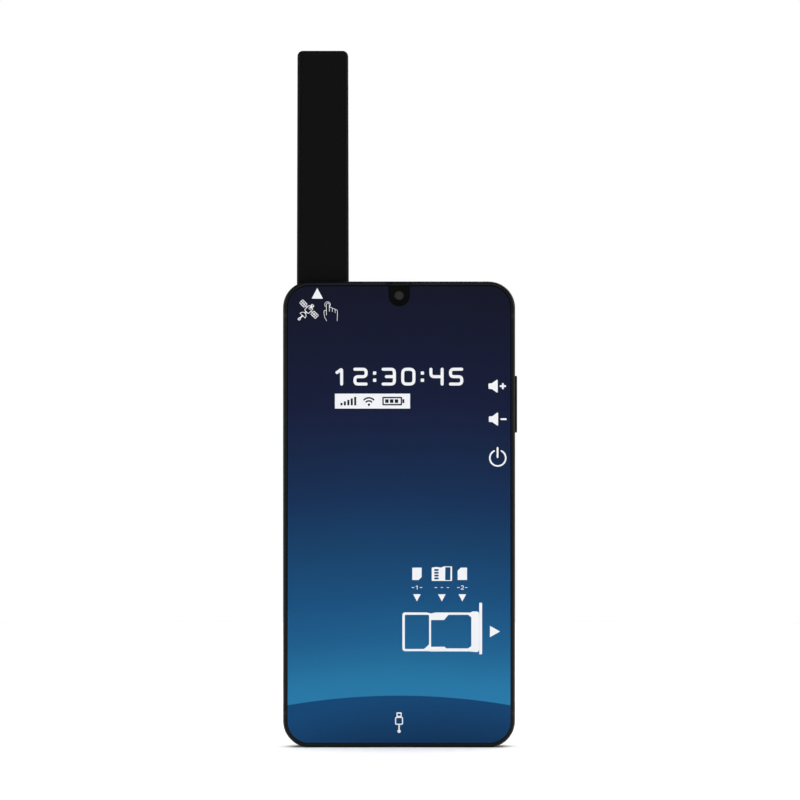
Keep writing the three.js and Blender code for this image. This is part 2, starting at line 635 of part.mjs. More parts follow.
add(
  "sim_tray_gasket",
  cut(
    block([gasketRight - 0.45, gasketRight], [SIDE_Y - 1.2, SIDE_Y + 1.2], narrowed(trayHeight, -1)),
    block([gasketRight - 1, gasketRight + 1], narrowed(trayDepth, -0.06), narrowed(trayHeight, -0.06)),
  ),
  BLACK_RUBBER,
);

const READER_WALL = 0.3;
const readerDepth = [BOARD.back + 0.1, trayDepth[1] + 0.6];
const readerHeight = narrowed(trayHeight, -0.9);
const readerSpan = [TRAY.left - 1, INNER_RIGHT - 0.5];
add(
  "sim_reader",
  cut(
    block(readerSpan, readerDepth, readerHeight),
    block(
      [readerSpan[0] + READER_WALL, readerSpan[1] + 1],
      narrowed(trayDepth, -0.2),
      narrowed(readerHeight, READER_WALL),
    ),
  ),
  STEEL,
);

// ---------------------------------------------------------------- socket

const socketTop = SOCKET.mouth + SOCKET.length;
add(
  "usb_port_shell",
  cut(
    extrude("z", socketShape(0), SOCKET.mouth, socketTop),
    extrude("z", socketShape(-SOCKET.wall), SOCKET.mouth - 1, socketTop - 0.4),
  ),
  STEEL,
);
add(
  "usb_port_tongue",
  block([-3.35, 3.35], [SIDE_Y - 0.35, SIDE_Y + 0.35], [SOCKET.mouth + 1.3, socketTop - 0.45]),
  DARK_PLASTIC,
);

// ---------------------------------------------------------------- boards, battery and what is on them

// A circuit board with rounded corners and its screw holes.
function circuitBoard({ left, right, bottom, top, corner }) {
  const shape = roundedRect(right - left, top - bottom, corner, (left + right) / 2, (bottom + top) / 2);
  return cut(extrude("y", shape, BOARD.front, BOARD.back, { arc: 2 }), ...screwHoles);
}

const cameraBay = block([-3.6, EARPIECE.right + 0.4], [BOARD.front - 1, BOARD.back + 1], [160.9, HEIGHT]);
const socketBay = block([-5, 5], [BOARD.front - 1, BOARD.back + 1], [0, SOCKET.mouth + 4.4]);
add("main_board", cut(circuitBoard(MAIN_BOARD), cameraBay), BOARD_GREEN);
add("sub_board", cut(circuitBoard(SUB_BOARD), socketBay), BOARD_GREEN);

// A pressed shield over part of a board, open towards the board.
function shieldCan(span, height, thickness) {
  const depth = [BOARD.back + LAYER_GAP, BOARD.back + thickness];
  return cut(
    block(span, depth, height),
    block(narrowed(span, 0.25), [depth[0] - 1, depth[1] - 0.25], narrowed(height, 0.25)),
  );
}

add("processor_shield", shieldCan([-11.2, 12], [123.6, 140.6], 1.9), STEEL);
add("satellite_modem_shield", shieldCan([-11.2, 12], [142, 159.6], 2.3), STEEL);

const batteryShape = roundedRect(
  BATTERY.right - BATTERY.left,
  BATTERY.top - BATTERY.bottom,
  2.5,
  (BATTERY.left + BATTERY.right) / 2,
  (BATTERY.bottom + BATTERY.top) / 2,
);
const batteryRound = { edge: 1, depth: 1, steps: 2, arc: 2 };
add("battery", extrude("y", batteryShape, MIDPLATE.back + 0.2, BATTERY.back, batteryRound), CELL_FOIL);

// A flat cable bent along a line through depth and height, widthwise between two places across.
function flatCable(span, line) {
  return extrude("x", polygon(line), span[0], span[1]);
}

const CABLE = 0.15;
const padBack = BOARD.back + LAYER_GAP + CABLE;
const cableBack = BATTERY.back + 0.15;
const lowerLeg = BATTERY.bottom - 1.2;
const upperLeg = BATTERY.top + 1.2;
add(
  "interboard_flex",
  flatCable([-8, 2], [
    [padBack - CABLE, 49],
    [padBack - CABLE, lowerLeg + CABLE],
    [cableBack, lowerLeg + CABLE],
    [cableBack, upperLeg - CABLE],
    [padBack - CABLE, upperLeg - CABLE],
    [padBack - CABLE, 123],
    [padBack, 123],
    [padBack, upperLeg],
    [cableBack + CABLE, upperLeg],
    [cableBack + CABLE, lowerLeg],
    [padBack, lowerLeg],
    [padBack, 49],
  ]),
  FLEX_AMBER,
);
add(
  "battery_flex",
  flatCable([4, 11], [
    [padBack - CABLE, BATTERY.top + 0.3],
    [padBack - CABLE, 122.8],
    [padBack, 122.8],
    [padBack, BATTERY.top + 0.3 + CABLE],
    [1, BATTERY.top + 0.3 + CABLE],
    [1, BATTERY.top + 0.3],
  ]),
  FLEX_AMBER,
);
const displayLeg = (DISPLAY_SLOT.bottom + DISPLAY_SLOT.top) / 2;
add(
  "display_flex",
  flatCable([DISPLAY_SLOT.left + 0.6, DISPLAY_SLOT.right - 0.6], [
    [MIDPLATE.front, displayLeg],
    [padBack, displayLeg],
    [padBack, 124],
    [padBack - CABLE, 124],
    [padBack - CABLE, displayLeg + CABLE],
    [MIDPLATE.front, displayLeg + CABLE],
  ]),
  FLEX_AMBER,
);

add(
  "earpiece",
  block([EARPIECE.left, EARPIECE.right], [MIDPLATE.back + 0.1, 0], [EARPIECE.bottom, EARPIECE.top]),
  DARK_PLASTIC,
);

function microphone({ x, bottom, top }) {
  const { halfWidth, back } = MICROPHONE;
  return block([x - halfWidth, x + halfWidth], [BOARD.back + LAYER_GAP, back], [bottom, top]);
}

add("top_microphone", microphone(TOP_MICROPHONE), STEEL);
add("bottom_microphone", microphone(BOTTOM_MICROPHONE), STEEL);
const loudspeakerShape = roundedRect(
  LOUDSPEAKER.width,
  LOUDSPEAKER.height,
  LOUDSPEAKER.corner,
  LOUDSPEAKER.x,
  LOUDSPEAKER.z,
);
const onBoard = BOARD.back + 0.1;
const loudspeakerRound = { edge: 0.6, steps: 1 };
add(
  "loudspeaker",
  extrude("y", loudspeakerShape, onBoard, LOUDSPEAKER.back, loudspeakerRound),
  DARK_PLASTIC,
);
add("vibration_motor", bar("y", MOTOR.radius, onBoard, MOTOR.back, [MOTOR.x, 0, MOTOR.z], 24), STEEL);

// The radio cable between the two boards, in the lane beside the battery, with a snap plug at each end.
const LANE = { x: BATTERY.left - 0.75, y: BOARD.back + 1.1, radius: 0.4 };
const cablePath = new THREE.CatmullRomCurve3(
  [
    [LANE.x, LANE.y, 48.4],
    [LANE.x, LANE.y, 54],
    [LANE.x, LANE.y, 86],
    [LANE.x, LANE.y, 118],
    [LANE.x + 1.2, LANE.y, 124],
    [LANE.x + 2.4, LANE.y, 130],
  ].map(([x, y, z]) => new THREE.Vector3(x, y, z)),
);
const cableSection = new THREE.Shape();
cableSection.absarc(0, 0, LANE.radius, 0, 2 * Math.PI);
const cable = new THREE.ExtrudeGeometry(cableSection, {
  extrudePath: cablePath,
  steps: 14,
  curveSegments: 4,
});
const plug = (x, z) => bar("y", 1.1, BOARD.back + LAYER_GAP, LANE.y + 0.3, [x, 0, z], 14);
add("rf_coax", join(cable, plug(LANE.x, 48), plug(LANE.x + 2.4, 130.4)), BLACK_RUBBER);

// ---------------------------------------------------------------- screws

// A pan head and its shank, turned about the screw's own axis, the head towards the back.
function screw(x, z) {
  const under = BOARD.back + LAYER_GAP;
  const tip = MIDPLATE.front + 0.1;
  const { shank, head, headHeight } = SCREW;
  const shankProfile = [[0, tip], [shank, tip], [shank, under]];
  const profile = [...shankProfile, [head, under], [head, under + 0.5], [0, under + headHeight]];
  const geometry = new THREE.LatheGeometry(profile.map(([r, y]) => new THREE.Vector2(r, y)), 14);
  return geometry.translate(x, 0, z);
}

for (const [name, [x, z]] of Object.entries(SCREWS)) {
  add(name, screw(x, z), STEEL);
}

export default phone;
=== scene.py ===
"""Looks for the satellite phone: materials for the CAD nodes, the pictograms printed on the front film, and
the small optical and grille parts that the CAD solids stand in for. Metres, in the CAD's own frame."""

import json
import math

import bmesh
import bpy
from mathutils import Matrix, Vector
from mathutils.geometry import delaunay_2d_cdt, tessellate_polygon

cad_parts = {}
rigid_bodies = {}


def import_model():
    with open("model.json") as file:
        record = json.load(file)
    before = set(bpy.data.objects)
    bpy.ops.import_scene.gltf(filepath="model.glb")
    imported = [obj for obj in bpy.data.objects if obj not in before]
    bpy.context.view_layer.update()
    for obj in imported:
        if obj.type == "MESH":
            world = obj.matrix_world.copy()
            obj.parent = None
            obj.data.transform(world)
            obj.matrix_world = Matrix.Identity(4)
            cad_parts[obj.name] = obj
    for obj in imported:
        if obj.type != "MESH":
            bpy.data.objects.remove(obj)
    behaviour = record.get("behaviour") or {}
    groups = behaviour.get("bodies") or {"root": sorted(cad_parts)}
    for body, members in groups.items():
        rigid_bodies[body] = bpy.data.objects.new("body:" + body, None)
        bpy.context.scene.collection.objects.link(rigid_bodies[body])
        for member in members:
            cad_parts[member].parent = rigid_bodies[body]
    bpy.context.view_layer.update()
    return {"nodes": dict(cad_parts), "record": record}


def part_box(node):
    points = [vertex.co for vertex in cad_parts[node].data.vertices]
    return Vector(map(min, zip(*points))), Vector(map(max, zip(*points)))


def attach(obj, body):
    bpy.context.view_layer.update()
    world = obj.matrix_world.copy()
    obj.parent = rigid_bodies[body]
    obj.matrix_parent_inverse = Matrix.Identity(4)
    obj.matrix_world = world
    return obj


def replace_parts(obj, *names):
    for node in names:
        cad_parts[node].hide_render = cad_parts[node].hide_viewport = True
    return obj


for leftover in list(bpy.data.objects):
    bpy.data.objects.remove(leftover)

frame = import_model()
NODES = frame["nodes"]
SLOT_OF = {part["node"]: part["material_slot"] for part in frame["record"]["subparts"]}
MM = 0.001

FRAME_LOW, FRAME_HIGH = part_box("mid_frame")


# ---------- node helpers


def srgb(red, green, blue):
    """A colour given as 0 to 255 on screen, as the linear colour that shaders take."""

    def linear(value):
        value /= 255
        return value / 12.92 if value <= 0.04045 else ((value + 0.055) / 1.055) ** 2.4

    return (linear(red), linear(green), linear(blue), 1.0)


def scaled(colour, factor):
    """A linear colour, lighter or darker."""
    return tuple(channel * factor for channel in colour[:3]) + (1.0,)


class Shader:
    """A new material with its Principled shader, and short ways to add and join nodes."""

    def __init__(self, name, roughness=0.5, metallic=0.0, specular=0.5):
        self.material = bpy.data.materials.new(name)
        self.material.use_nodes = True
        self.tree = self.material.node_tree
        self.surface = self.tree.nodes["Principled BSDF"]
        self.surface.inputs["Roughness"].default_value = roughness
        self.surface.inputs["Metallic"].default_value = metallic
        self.surface.inputs["Specular IOR Level"].default_value = specular
        self.place = self.node("ShaderNodeTexCoord").outputs["Object"]

    def node(self, kind, **settings):
        made = self.tree.nodes.new(kind)
        for key, value in settings.items():
            setattr(made, key, value)
        return made

    def join(self, source, target):
        self.tree.links.new(source, target)

    def math(self, operation, first, second=0.0, clamp=False):
        """A Math node's output. Each of first and second is a number or another node's output."""
        made = self.node("ShaderNodeMath", operation=operation, use_clamp=clamp)
        for socket, value in zip(made.inputs, (first, second)):
            if isinstance(value, (int, float)):
                socket.default_value = value
            else:
                self.join(value, socket)
        return made.outputs[0]

    def split(self):
        """The three object coordinates, in metres."""
        made = self.node("ShaderNodeSeparateXYZ")
        self.join(self.place, made.inputs[0])
        return made.outputs

    def stretched(self, x, y, z):
        """The object coordinates with each axis scaled."""
        made = self.node("ShaderNodeMapping")
        made.inputs["Scale"].default_value = (x, y, z)
        self.join(self.place, made.inputs["Vector"])
        return made.outputs[0]

    def noise(self, grain, detail=2.0, rough=0.5, place=None):
        """Noise whose features are grain metres across, from 0 to 1."""
        made = self.node("ShaderNodeTexNoise")
        made.inputs["Scale"].default_value = 1 / grain
        made.inputs["Detail"].default_value = detail
        made.inputs["Roughness"].default_value = rough
        self.join(place or self.place, made.inputs["Vector"])
        return made.outputs["Fac"]

    def cells(self, size):
        """Distance to the nearest point of a scatter that is size metres apart."""
        made = self.node("ShaderNodeTexVoronoi")
        made.inputs["Scale"].default_value = 1 / size
        self.join(self.place, made.inputs["Vector"])
        return made.outputs["Distance"]

    def ramp(self, value, stops):
        """A colour ramp driven by value. stops is a list of (position, colour)."""
        made = self.node("ShaderNodeValToRGB")
        elements = made.color_ramp.elements
        while len(elements) < len(stops):
            elements.new(0.5)
        for element, (position, colour) in zip(elements, stops):
            element.position = position
            element.color = colour
        self.join(value, made.inputs["Fac"])
        return made.outputs["Color"]

    def blend(self, factor, first, second, mode="MIX"):
        """Two colours mixed. Each is a colour or a node's output."""
        made = self.node("ShaderNodeMix", data_type="RGBA", blend_type=mode)
        sockets = (made.inputs["Factor"], made.inputs[6], made.inputs[7])
        for socket, value in zip(sockets, (factor, first, second)):
            if isinstance(value, bpy.types.NodeSocket):
                self.join(value, socket)
            else:
                socket.default_value = value
        return made.outputs[2]

    def span(self, value, low, high):
        """A 0 to 1 value mapped to low to high."""
        made = self.node("ShaderNodeMapRange")
        made.inputs["To Min"].default_value = low
        made.inputs["To Max"].default_value = high
        self.join(value, made.inputs["Value"])
        return made.outputs["Result"]

    def colour(self, output):
        self.join(output, self.surface.inputs["Base Color"])

    def roughness(self, output):
        self.join(output, self.surface.inputs["Roughness"])

    def bump(self, height, depth):
        """Raises the surface by depth metres where height is 1."""
        made = self.node("ShaderNodeBump")
        made.inputs["Distance"].default_value = depth
        self.join(height, made.inputs["Height"])
        self.join(made.outputs[0], self.surface.inputs["Normal"])


# ---------- materials


def grained(name, colour, roughness, grain, depth, metallic=0.0, specular=0.5, vary=0.12):
    """A moulded or blasted surface: fine grain, and slow changes of tone and gloss."""
    shader = Shader(name, roughness, metallic, specular)
    fine = shader.noise(grain, detail=3)
    slow = shader.noise(14 * MM, detail=1)
    tone = shader.math("ADD", shader.math("MULTIPLY", fine, 0.5), shader.math("MULTIPLY", slow, 0.5))
    shader.colour(shader.ramp(tone, [(0.3, scaled(colour, 1 - vary)), (0.7, scaled(colour, 1 + vary))]))
    shader.roughness(shader.span(slow, roughness - 0.05, roughness + 0.05))
    shader.bump(fine, depth)
    return shader.material


BAND_INSET = 12.5 * MM  # from the frame's ends to the bands of plastic
BAND_HALF_WIDTH = 0.7 * MM


def anodised_metal():
    """Dark anodised frame metal, with bands of plastic let into it where its own antennas are parted."""
    metal = srgb(25, 27, 29)
    plastic = srgb(17, 18, 20)
    shader = Shader("dark_anodised_metal", roughness=0.42, metallic=0.75, specular=0.2)
    fine = shader.noise(0.12 * MM, detail=3)
    slow = shader.noise(18 * MM, detail=1)
    height = shader.split()[2]
    middle = (FRAME_LOW.z + FRAME_HIGH.z) / 2
    reach = FRAME_HIGH.z - middle - BAND_INSET
    from_middle = shader.math("ABSOLUTE", shader.math("SUBTRACT", height, middle))
    from_band = shader.math("ABSOLUTE", shader.math("SUBTRACT", from_middle, reach))
    in_band = shader.math("LESS_THAN", from_band, BAND_HALF_WIDTH)
    tone = shader.ramp(fine, [(0.25, scaled(metal, 0.86)), (0.75, scaled(metal, 1.14))])
    shader.colour(shader.blend(in_band, tone, plastic))
    shader.join(shader.span(in_band, 0.75, 0.0), shader.surface.inputs["Metallic"])
    shader.roughness(shader.span(slow, 0.38, 0.46))
    shader.bump(fine, 0.004 * MM)
    return shader.material


# The film's inks, from the glow along the horizon up to the night sky, as millimetres above the horizon.
SKY = [
    (0, (38, 118, 163)),
    (6, (35, 114, 158)),
    (20, (27, 91, 136)),
    (37, (20, 74, 118)),
    (54, (18, 61, 100)),
    (72, (17, 45, 82)),
    (90, (17, 34, 66)),
    (108, (17, 24, 53)),
    (150, (14, 17, 35)),
]
# The same from the horizon down.
GROUND = [
    (0, (16, 68, 113)),
    (9, (15, 61, 103)),
    (20, (11, 51, 89)),
]
HORIZON_RADIUS = 237 * MM
HORIZON_TOP = FRAME_LOW.z + 18.8 * MM


def print_ramp(shader, distance, inks):
    """The colours of a table of inks by a distance in metres."""
    depth = inks[-1][0]
    place = shader.math("MULTIPLY", distance, 1 / (depth * MM))
    return shader.ramp(place, [(height / depth, srgb(*ink)) for height, ink in inks])


def printed_film():
    """The film's picture: a dark planet's edge below, its glow, and night above, under a satin coat."""
    shader = Shader("printed_film", roughness=0.42, specular=0.06)
    x, _, z = shader.split()
    up = shader.math("SUBTRACT", z, HORIZON_TOP - HORIZON_RADIUS)
    squares = shader.math("ADD", shader.math("MULTIPLY", x, x), shader.math("MULTIPLY", up, up))
    above = shader.math("SUBTRACT", shader.math("SQRT", squares), HORIZON_RADIUS)
    wander = shader.math("MULTIPLY", shader.math("SUBTRACT", shader.noise(30 * MM, detail=1), 0.5), 3 * MM)
    sky = print_ramp(shader, shader.math("ADD", above, wander), SKY)
    lean = shader.math("MULTIPLY", x, 0.12)
    ground = print_ramp(shader, shader.math("SUBTRACT", lean, above), GROUND)
    edge = shader.math("MULTIPLY", above, 1 / (0.25 * MM), clamp=True)
    picture = shader.blend(edge, ground, sky)
    dots = shader.ramp(shader.noise(0.2 * MM, detail=1), [(0.3, (0.97, 0.97, 0.97, 1)), (0.7, (1, 1, 1, 1))])
    shader.colour(shader.blend(1.0, picture, dots, "MULTIPLY"))
    shader.roughness(shader.span(shader.noise(5 * MM, detail=2), 0.4, 0.46))
    shader.bump(shader.noise(0.5 * MM, detail=1), 0.001 * MM)
    return shader.material


def printed_ink(name, colour):
    """Opaque screen ink, a little uneven."""
    shader = Shader(name, roughness=0.5, specular=0.1)
    mottle = shader.noise(0.35 * MM, detail=2)
    shader.colour(shader.ramp(mottle, [(0.3, scaled(colour, 0.96)), (0.7, colour)]))
    shader.bump(mottle, 0.001 * MM)
    return shader.material


def polished_glass(name, colour, roughness=0.06, specular=0.5, film=0.0):
    """Glass printed black behind, with faint smears in its gloss. film is a coating, in nanometres."""
    shader = Shader(name, roughness=roughness, specular=specular)
    shader.surface.inputs["Thin Film Thickness"].default_value = film
    smear = shader.noise(9 * MM, detail=3)
    shader.colour(shader.ramp(smear, [(0.3, scaled(colour, 0.8)), (0.7, scaled(colour, 1.2))]))
    shader.roughness(shader.span(smear, roughness * 0.6, roughness * 1.8))
    return shader.material


def plated_steel():
    """Rolled and plated sheet, with fine lines along the part."""
    steel = srgb(176, 178, 182)
    shader = Shader("plated_steel", roughness=0.32, metallic=1.0)
    lines = shader.noise(1.0, detail=4, place=shader.stretched(900, 900, 9000))
    shader.colour(shader.ramp(lines, [(0.3, scaled(steel, 0.8)), (0.7, scaled(steel, 1.1))]))
    shader.roughness(shader.span(lines, 0.25, 0.4))
    shader.bump(lines, 0.002 * MM)
    return shader.material


def gold_plate():
    """Gold plating, a little worn."""
    gold = srgb(214, 170, 92)
    shader = Shader("gold_plate", roughness=0.28, metallic=1.0)
    wear = shader.noise(0.6 * MM, detail=4)
    shader.colour(shader.ramp(wear, [(0.3, scaled(gold, 0.75)), (0.6, gold)]))
    shader.roughness(shader.span(wear, 0.22, 0.38))
    shader.bump(wear, 0.003 * MM)
    return shader.material


def circuit_board():
    """Green solder mask over copper tracks, with bare pads."""
    mask = srgb(18, 66, 40)
    over_copper = srgb(34, 96, 58)
    pad = srgb(206, 178, 116)
    shader = Shader("circuit_board", roughness=0.42, specular=0.5)
    bricks = shader.node("ShaderNodeTexBrick", offset=0.5)
    bricks.inputs["Scale"].default_value = 1.0
    bricks.inputs["Brick Width"].default_value = 2.4 * MM
    bricks.inputs["Row Height"].default_value = 1.1 * MM
    bricks.inputs["Mortar Size"].default_value = 0.16 * MM
    upright = shader.node("ShaderNodeMapping")
    upright.inputs["Rotation"].default_value = (math.radians(90), 0, 0)
    shader.join(shader.place, upright.inputs["Vector"])
    shader.join(upright.outputs[0], bricks.inputs["Vector"])
    tracks = shader.blend(bricks.outputs["Fac"], mask, over_copper)
    pads = shader.math("LESS_THAN", shader.cells(2.1 * MM), 0.16)
    shader.colour(shader.blend(pads, tracks, pad))
    shader.roughness(shader.span(shader.noise(2 * MM), 0.34, 0.5))
    shader.bump(bricks.outputs["Fac"], 0.02 * MM)
    return shader.material


def flat_cable():
    """Amber polyimide film with copper lines that show through it."""
    amber = srgb(150, 86, 30)
    copper = srgb(196, 124, 58)
    shader = Shader("flat_cable", roughness=0.35, specular=0.5)
    wave = shader.node("ShaderNodeTexWave", wave_type="BANDS", bands_direction="X")
    wave.inputs["Scale"].default_value = 120
    wave.inputs["Distortion"].default_value = 0.4
    shader.join(shader.place, wave.inputs["Vector"])
    shader.colour(shader.blend(wave.outputs["Fac"], amber, copper))
    shader.roughness(shader.span(shader.noise(3 * MM), 0.28, 0.42))
    shader.bump(wave.outputs["Fac"], 0.01 * MM)
    return shader.material


def cell_foil():
    """Black laminated foil round the battery cell, faintly creased."""
    black = srgb(40, 42, 47)
    shader = Shader("cell_foil", roughness=0.38, metallic=0.3)
    crease = shader.noise(7 * MM, detail=5, rough=0.7)
    shader.colour(shader.ramp(crease, [(0.35, scaled(black, 0.8)), (0.65, scaled(black, 1.25))]))
    shader.roughness(shader.span(crease, 0.3, 0.46))
    shader.bump(crease, 0.12 * MM)
    return shader.material


def ceramic_core():
    """Antenna core: pale ceramic with slanting bands of printed metal."""
    ceramic = srgb(214, 204, 184)
    metal = srgb(196, 148, 82)
    shader = Shader("ceramic_core", roughness=0.4)
    x, _, z = shader.split()
    slant = shader.math("ADD", shader.math("MULTIPLY", x, 0.8), z)
    turn = shader.math("FRACT", shader.math("MULTIPLY", slant, 1 / (11 * MM)))
    band = shader.math("LESS_THAN", turn, 0.34)
    shader.colour(shader.blend(band, ceramic, metal))
    shader.join(band, shader.surface.inputs["Metallic"])
    shader.roughness(shader.span(shader.noise(2 * MM), 0.34, 0.46))
    shader.bump(band, 0.03 * MM)
    return shader.material


def display_layers():
    """The panel behind the glass: near black, with its fine grid of dots."""
    dark = srgb(20, 21, 24)
    shader = Shader("display_layers", roughness=0.25)
    grid = shader.cells(0.3 * MM)
    shader.colour(shader.ramp(grid, [(0.1, scaled(dark, 1.5)), (0.6, dark)]))
    shader.roughness(shader.span(shader.noise(8 * MM), 0.2, 0.3))
    shader.bump(grid, 0.002 * MM)
    return shader.material


def flash_lens():
    """Milky lens over the lamp, with the warm phosphor showing through its middle."""
    milky = srgb(214, 212, 202)
    phosphor = srgb(222, 196, 104)
    shader = Shader("flash_lens", roughness=0.22)
    low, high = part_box("flash_window")
    x, _, z = shader.split()
    aside = shader.math("SUBTRACT", x, (low.x + high.x) / 2)
    above = shader.math("SUBTRACT", z, (low.z + high.z) / 2)
    squares = shader.math("ADD", shader.math("MULTIPLY", aside, aside), shader.math("MULTIPLY", above, above))
    from_middle = shader.math("MULTIPLY", shader.math("SQRT", squares), 2 / (high.x - low.x))
    blotch = shader.math("MULTIPLY", shader.noise(0.5 * MM, detail=2), 0.3)
    spread = shader.math("ADD", from_middle, blotch)
    shader.colour(shader.ramp(spread, [(0.35, phosphor), (0.75, milky)]))
    shader.roughness(shader.span(blotch, 0.16, 0.4))
    shader.bump(blotch, 0.01 * MM)
    return shader.material


MATERIALS = {
    "frame_metal": anodised_metal(),
    "back_shell": grained("back_shell", srgb(31, 32, 35), 0.52, 0.2 * MM, 0.014 * MM, specular=0.35),
    "antenna_plastic": grained("antenna_plastic", srgb(9, 9, 9), 0.5, 0.16 * MM, 0.008 * MM, specular=0.05),
    "front_glass": polished_glass("front_glass", srgb(9, 10, 10), specular=0.15),
    "lens_glass": polished_glass("lens_glass", srgb(12, 12, 16), roughness=0.04),
    "printed_film": printed_film(),
    "dark_plastic": grained("dark_plastic", srgb(30, 30, 33), 0.55, 0.2 * MM, 0.01 * MM, specular=0.3),
    "black_rubber": grained("black_rubber", srgb(20, 20, 20), 0.8, 0.3 * MM, 0.015 * MM, specular=0.2),
    "plated_steel": plated_steel(),
    "gold_contact": gold_plate(),
    "antenna_core": ceramic_core(),
    "circuit_board": circuit_board(),
    "flat_cable": flat_cable(),
    "cell_foil": cell_foil(),
    "display_layers": display_layers(),
    "flash_lens": flash_lens(),
}
# Nodes that look unlike the rest of their slot.
NODE_LOOKS = {
    "rear_camera_bezel": polished_glass("camera_plate", srgb(15, 15, 17), roughness=0.2, specular=0.4),
    "volume_rocker": grained("key_cap", srgb(20, 21, 23), 0.36, 0.1 * MM, 0.003 * MM, 0.75, 0.3),
}
NODE_LOOKS["power_key"] = NODE_LOOKS["volume_rocker"]
WHITE_INK = printed_ink("white_ink", srgb(233, 235, 238))
DARK_INK = printed_ink("dark_ink", srgb(24, 28, 44))
SCREEN_WIRE = grained("screen_wire", srgb(62, 63, 66), 0.4, 0.05 * MM, 0.002 * MM, metallic=0.8)
SEAM_BEAD = grained("seam_bead", srgb(7, 7, 7), 0.7, 0.2 * MM, 0.004 * MM, specular=0.1)


# ---------- CAD nodes: materials and shading

SMOOTH_LIMIT = math.radians(38)
SAME_SPOT = 0.002 * MM  # corners closer than this are one corner


def smooth_faceted(mesh):
    """Shades a faceted mesh round over its gentle edges. Wide faces weigh more, so flats stay flat."""
    shared = {}
    for polygon in mesh.polygons:
        for loop in polygon.loop_indices:
            spot = mesh.vertices[mesh.loops[loop].vertex_index].co
            key = tuple(round(value / SAME_SPOT) for value in spot)
            shared.setdefault(key, []).append((loop, polygon.normal.copy(), polygon.area))
    normals = [(0.0, 0.0, 1.0)] * len(mesh.loops)
    limit = math.cos(SMOOTH_LIMIT)
    for corners in shared.values():
        for loop, own, _ in corners:
            total = Vector()
            for _, other, area in corners:
                if own.dot(other) > limit:
                    total += other * area
            normals[loop] = total.normalized() if total.length > 0 else own
    for polygon in mesh.polygons:
        polygon.use_smooth = True
    mesh.normals_split_custom_set(normals)


for node_name, node in NODES.items():
    node.data.materials.clear()
    node.data.materials.append(NODE_LOOKS.get(node_name, MATERIALS[SLOT_OF[node_name]]))
    smooth_faceted(node.data)


# ---------- helpers for pieces


def finish_piece(piece, material, body="phone"):
    """Gives a piece its material, and makes it ride on a body."""
    piece.data.materials.clear()
    piece.data.materials.append(material)
    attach(piece, body)
    return piece


def object_from(name, data):
    """A new object in the scene, made of some data."""
    piece = bpy.data.objects.new(name, data)
    bpy.context.scene.collection.objects.link(piece)
    return piece


def object_of(name, body):
    """A mesh object made of a bmesh, which is used up."""
    data = bpy.data.meshes.new(name)
    body.to_mesh(data)
    body.free()
    return object_from(name, data)


LONGEST_BEND = 0.49  # of a side, so that the bends at its two ends don't meet
SHARPEST_MITRE = 0.4  # the cosine at which a line's corner is cut off


def arc(x, z, radius, start, end, steps=16):
    """Points along a circle, from one angle in degrees to another."""
    points = []
    for step in range(steps + 1):
        angle = math.radians(start + (end - start) * step / steps)
        points.append((x + radius * math.cos(angle), z + radius * math.sin(angle)))
    return points


def bend(before, here, after, radius, steps):
    """Points that take a corner round, no further along its sides than half their length."""
    here = Vector(here)
    back, on = Vector(before) - here, Vector(after) - here
    half = back.angle(on) / 2
    reach = min(radius / math.tan(half), LONGEST_BEND * back.length, LONGEST_BEND * on.length)
    start, end = here + back.normalized() * reach, here + on.normalized() * reach
    points = []
    for step in range(steps + 1):
        share = step / steps
        points.append(tuple(start.lerp(here, share).lerp(here.lerp(end, share), share)))
    return points


def rounded(corners, radius, steps=5):
    """A closed outline with each corner rounded."""
    points = []
    for index, here in enumerate(corners):
        points += bend(corners[index - 1], here, corners[(index + 1) % len(corners)], radius, steps)
    return points


def rectangle(x, z, width, height, radius=0.0):
    """A rectangle about a middle point, with its corners rounded if radius is given."""
    right, top = x + width / 2, z + height / 2
    left, bottom = x - width / 2, z - height / 2
    corners = [(right, top), (left, top), (left, bottom), (right, bottom)]
    return rounded(corners, radius) if radius else corners


def rounded_line(corners, radius, steps=5):
    """An open line with its inner corners rounded."""
    points = [corners[0]]
    for before, here, after in zip(corners, corners[1:], corners[2:]):
        points += bend(before, here, after, radius, steps)
    return points + [corners[-1]]


def stroke(points, width, closed=False):
    """The faces of a line of even width along some points, with round ends."""
    path = [Vector(point) for point in points]
    count = len(path)
    sides = []
    for index, here in enumerate(path):
        inner = closed or index > 0
        outer = closed or index < count - 1
        arriving = here - path[index - 1] if inner else path[1] - here
        leaving = path[(index + 1) % count] - here if outer else arriving
        first = Vector((-arriving.y, arriving.x)).normalized()
        second = Vector((-leaving.y, leaving.x)).normalized()
        across = (first + second).normalized()
        reach = across * (width / 2 / max(across.dot(first), SHARPEST_MITRE))
        sides.append((tuple(here + reach), tuple(here - reach)))
    faces = []
    for index in range(count if closed else count - 1):
        (left, right), (next_left, next_right) = sides[index], sides[(index + 1) % count]
        faces.append([left, next_left, next_right, right])
    if not closed:
        for end, other in ((path[0], path[1]), (path[-1], path[-2])):
            out = end - other
            angle = math.degrees(math.atan2(out.y, out.x))
            faces.append(arc(end.x, end.y, width / 2, angle - 90, angle + 90, 8))
    return faces


def filled(*outlines):
    """The faces of an outline. The outlines after the first are holes in it."""
    loops = [[Vector((x, z, 0)) for x, z in outline] for outline in outlines]
    points = [(point.x, point.y) for loop in loops for point in loop]
    return [[points[corner] for corner in face] for face in tessellate_polygon(loops)]


def signed_area(face):
    """The area of a flat face, below zero where its corners run clockwise."""
    following = face[1:] + face[:1]
    return sum(x * next_z - next_x * z for (x, z), (next_x, next_z) in zip(face, following)) / 2


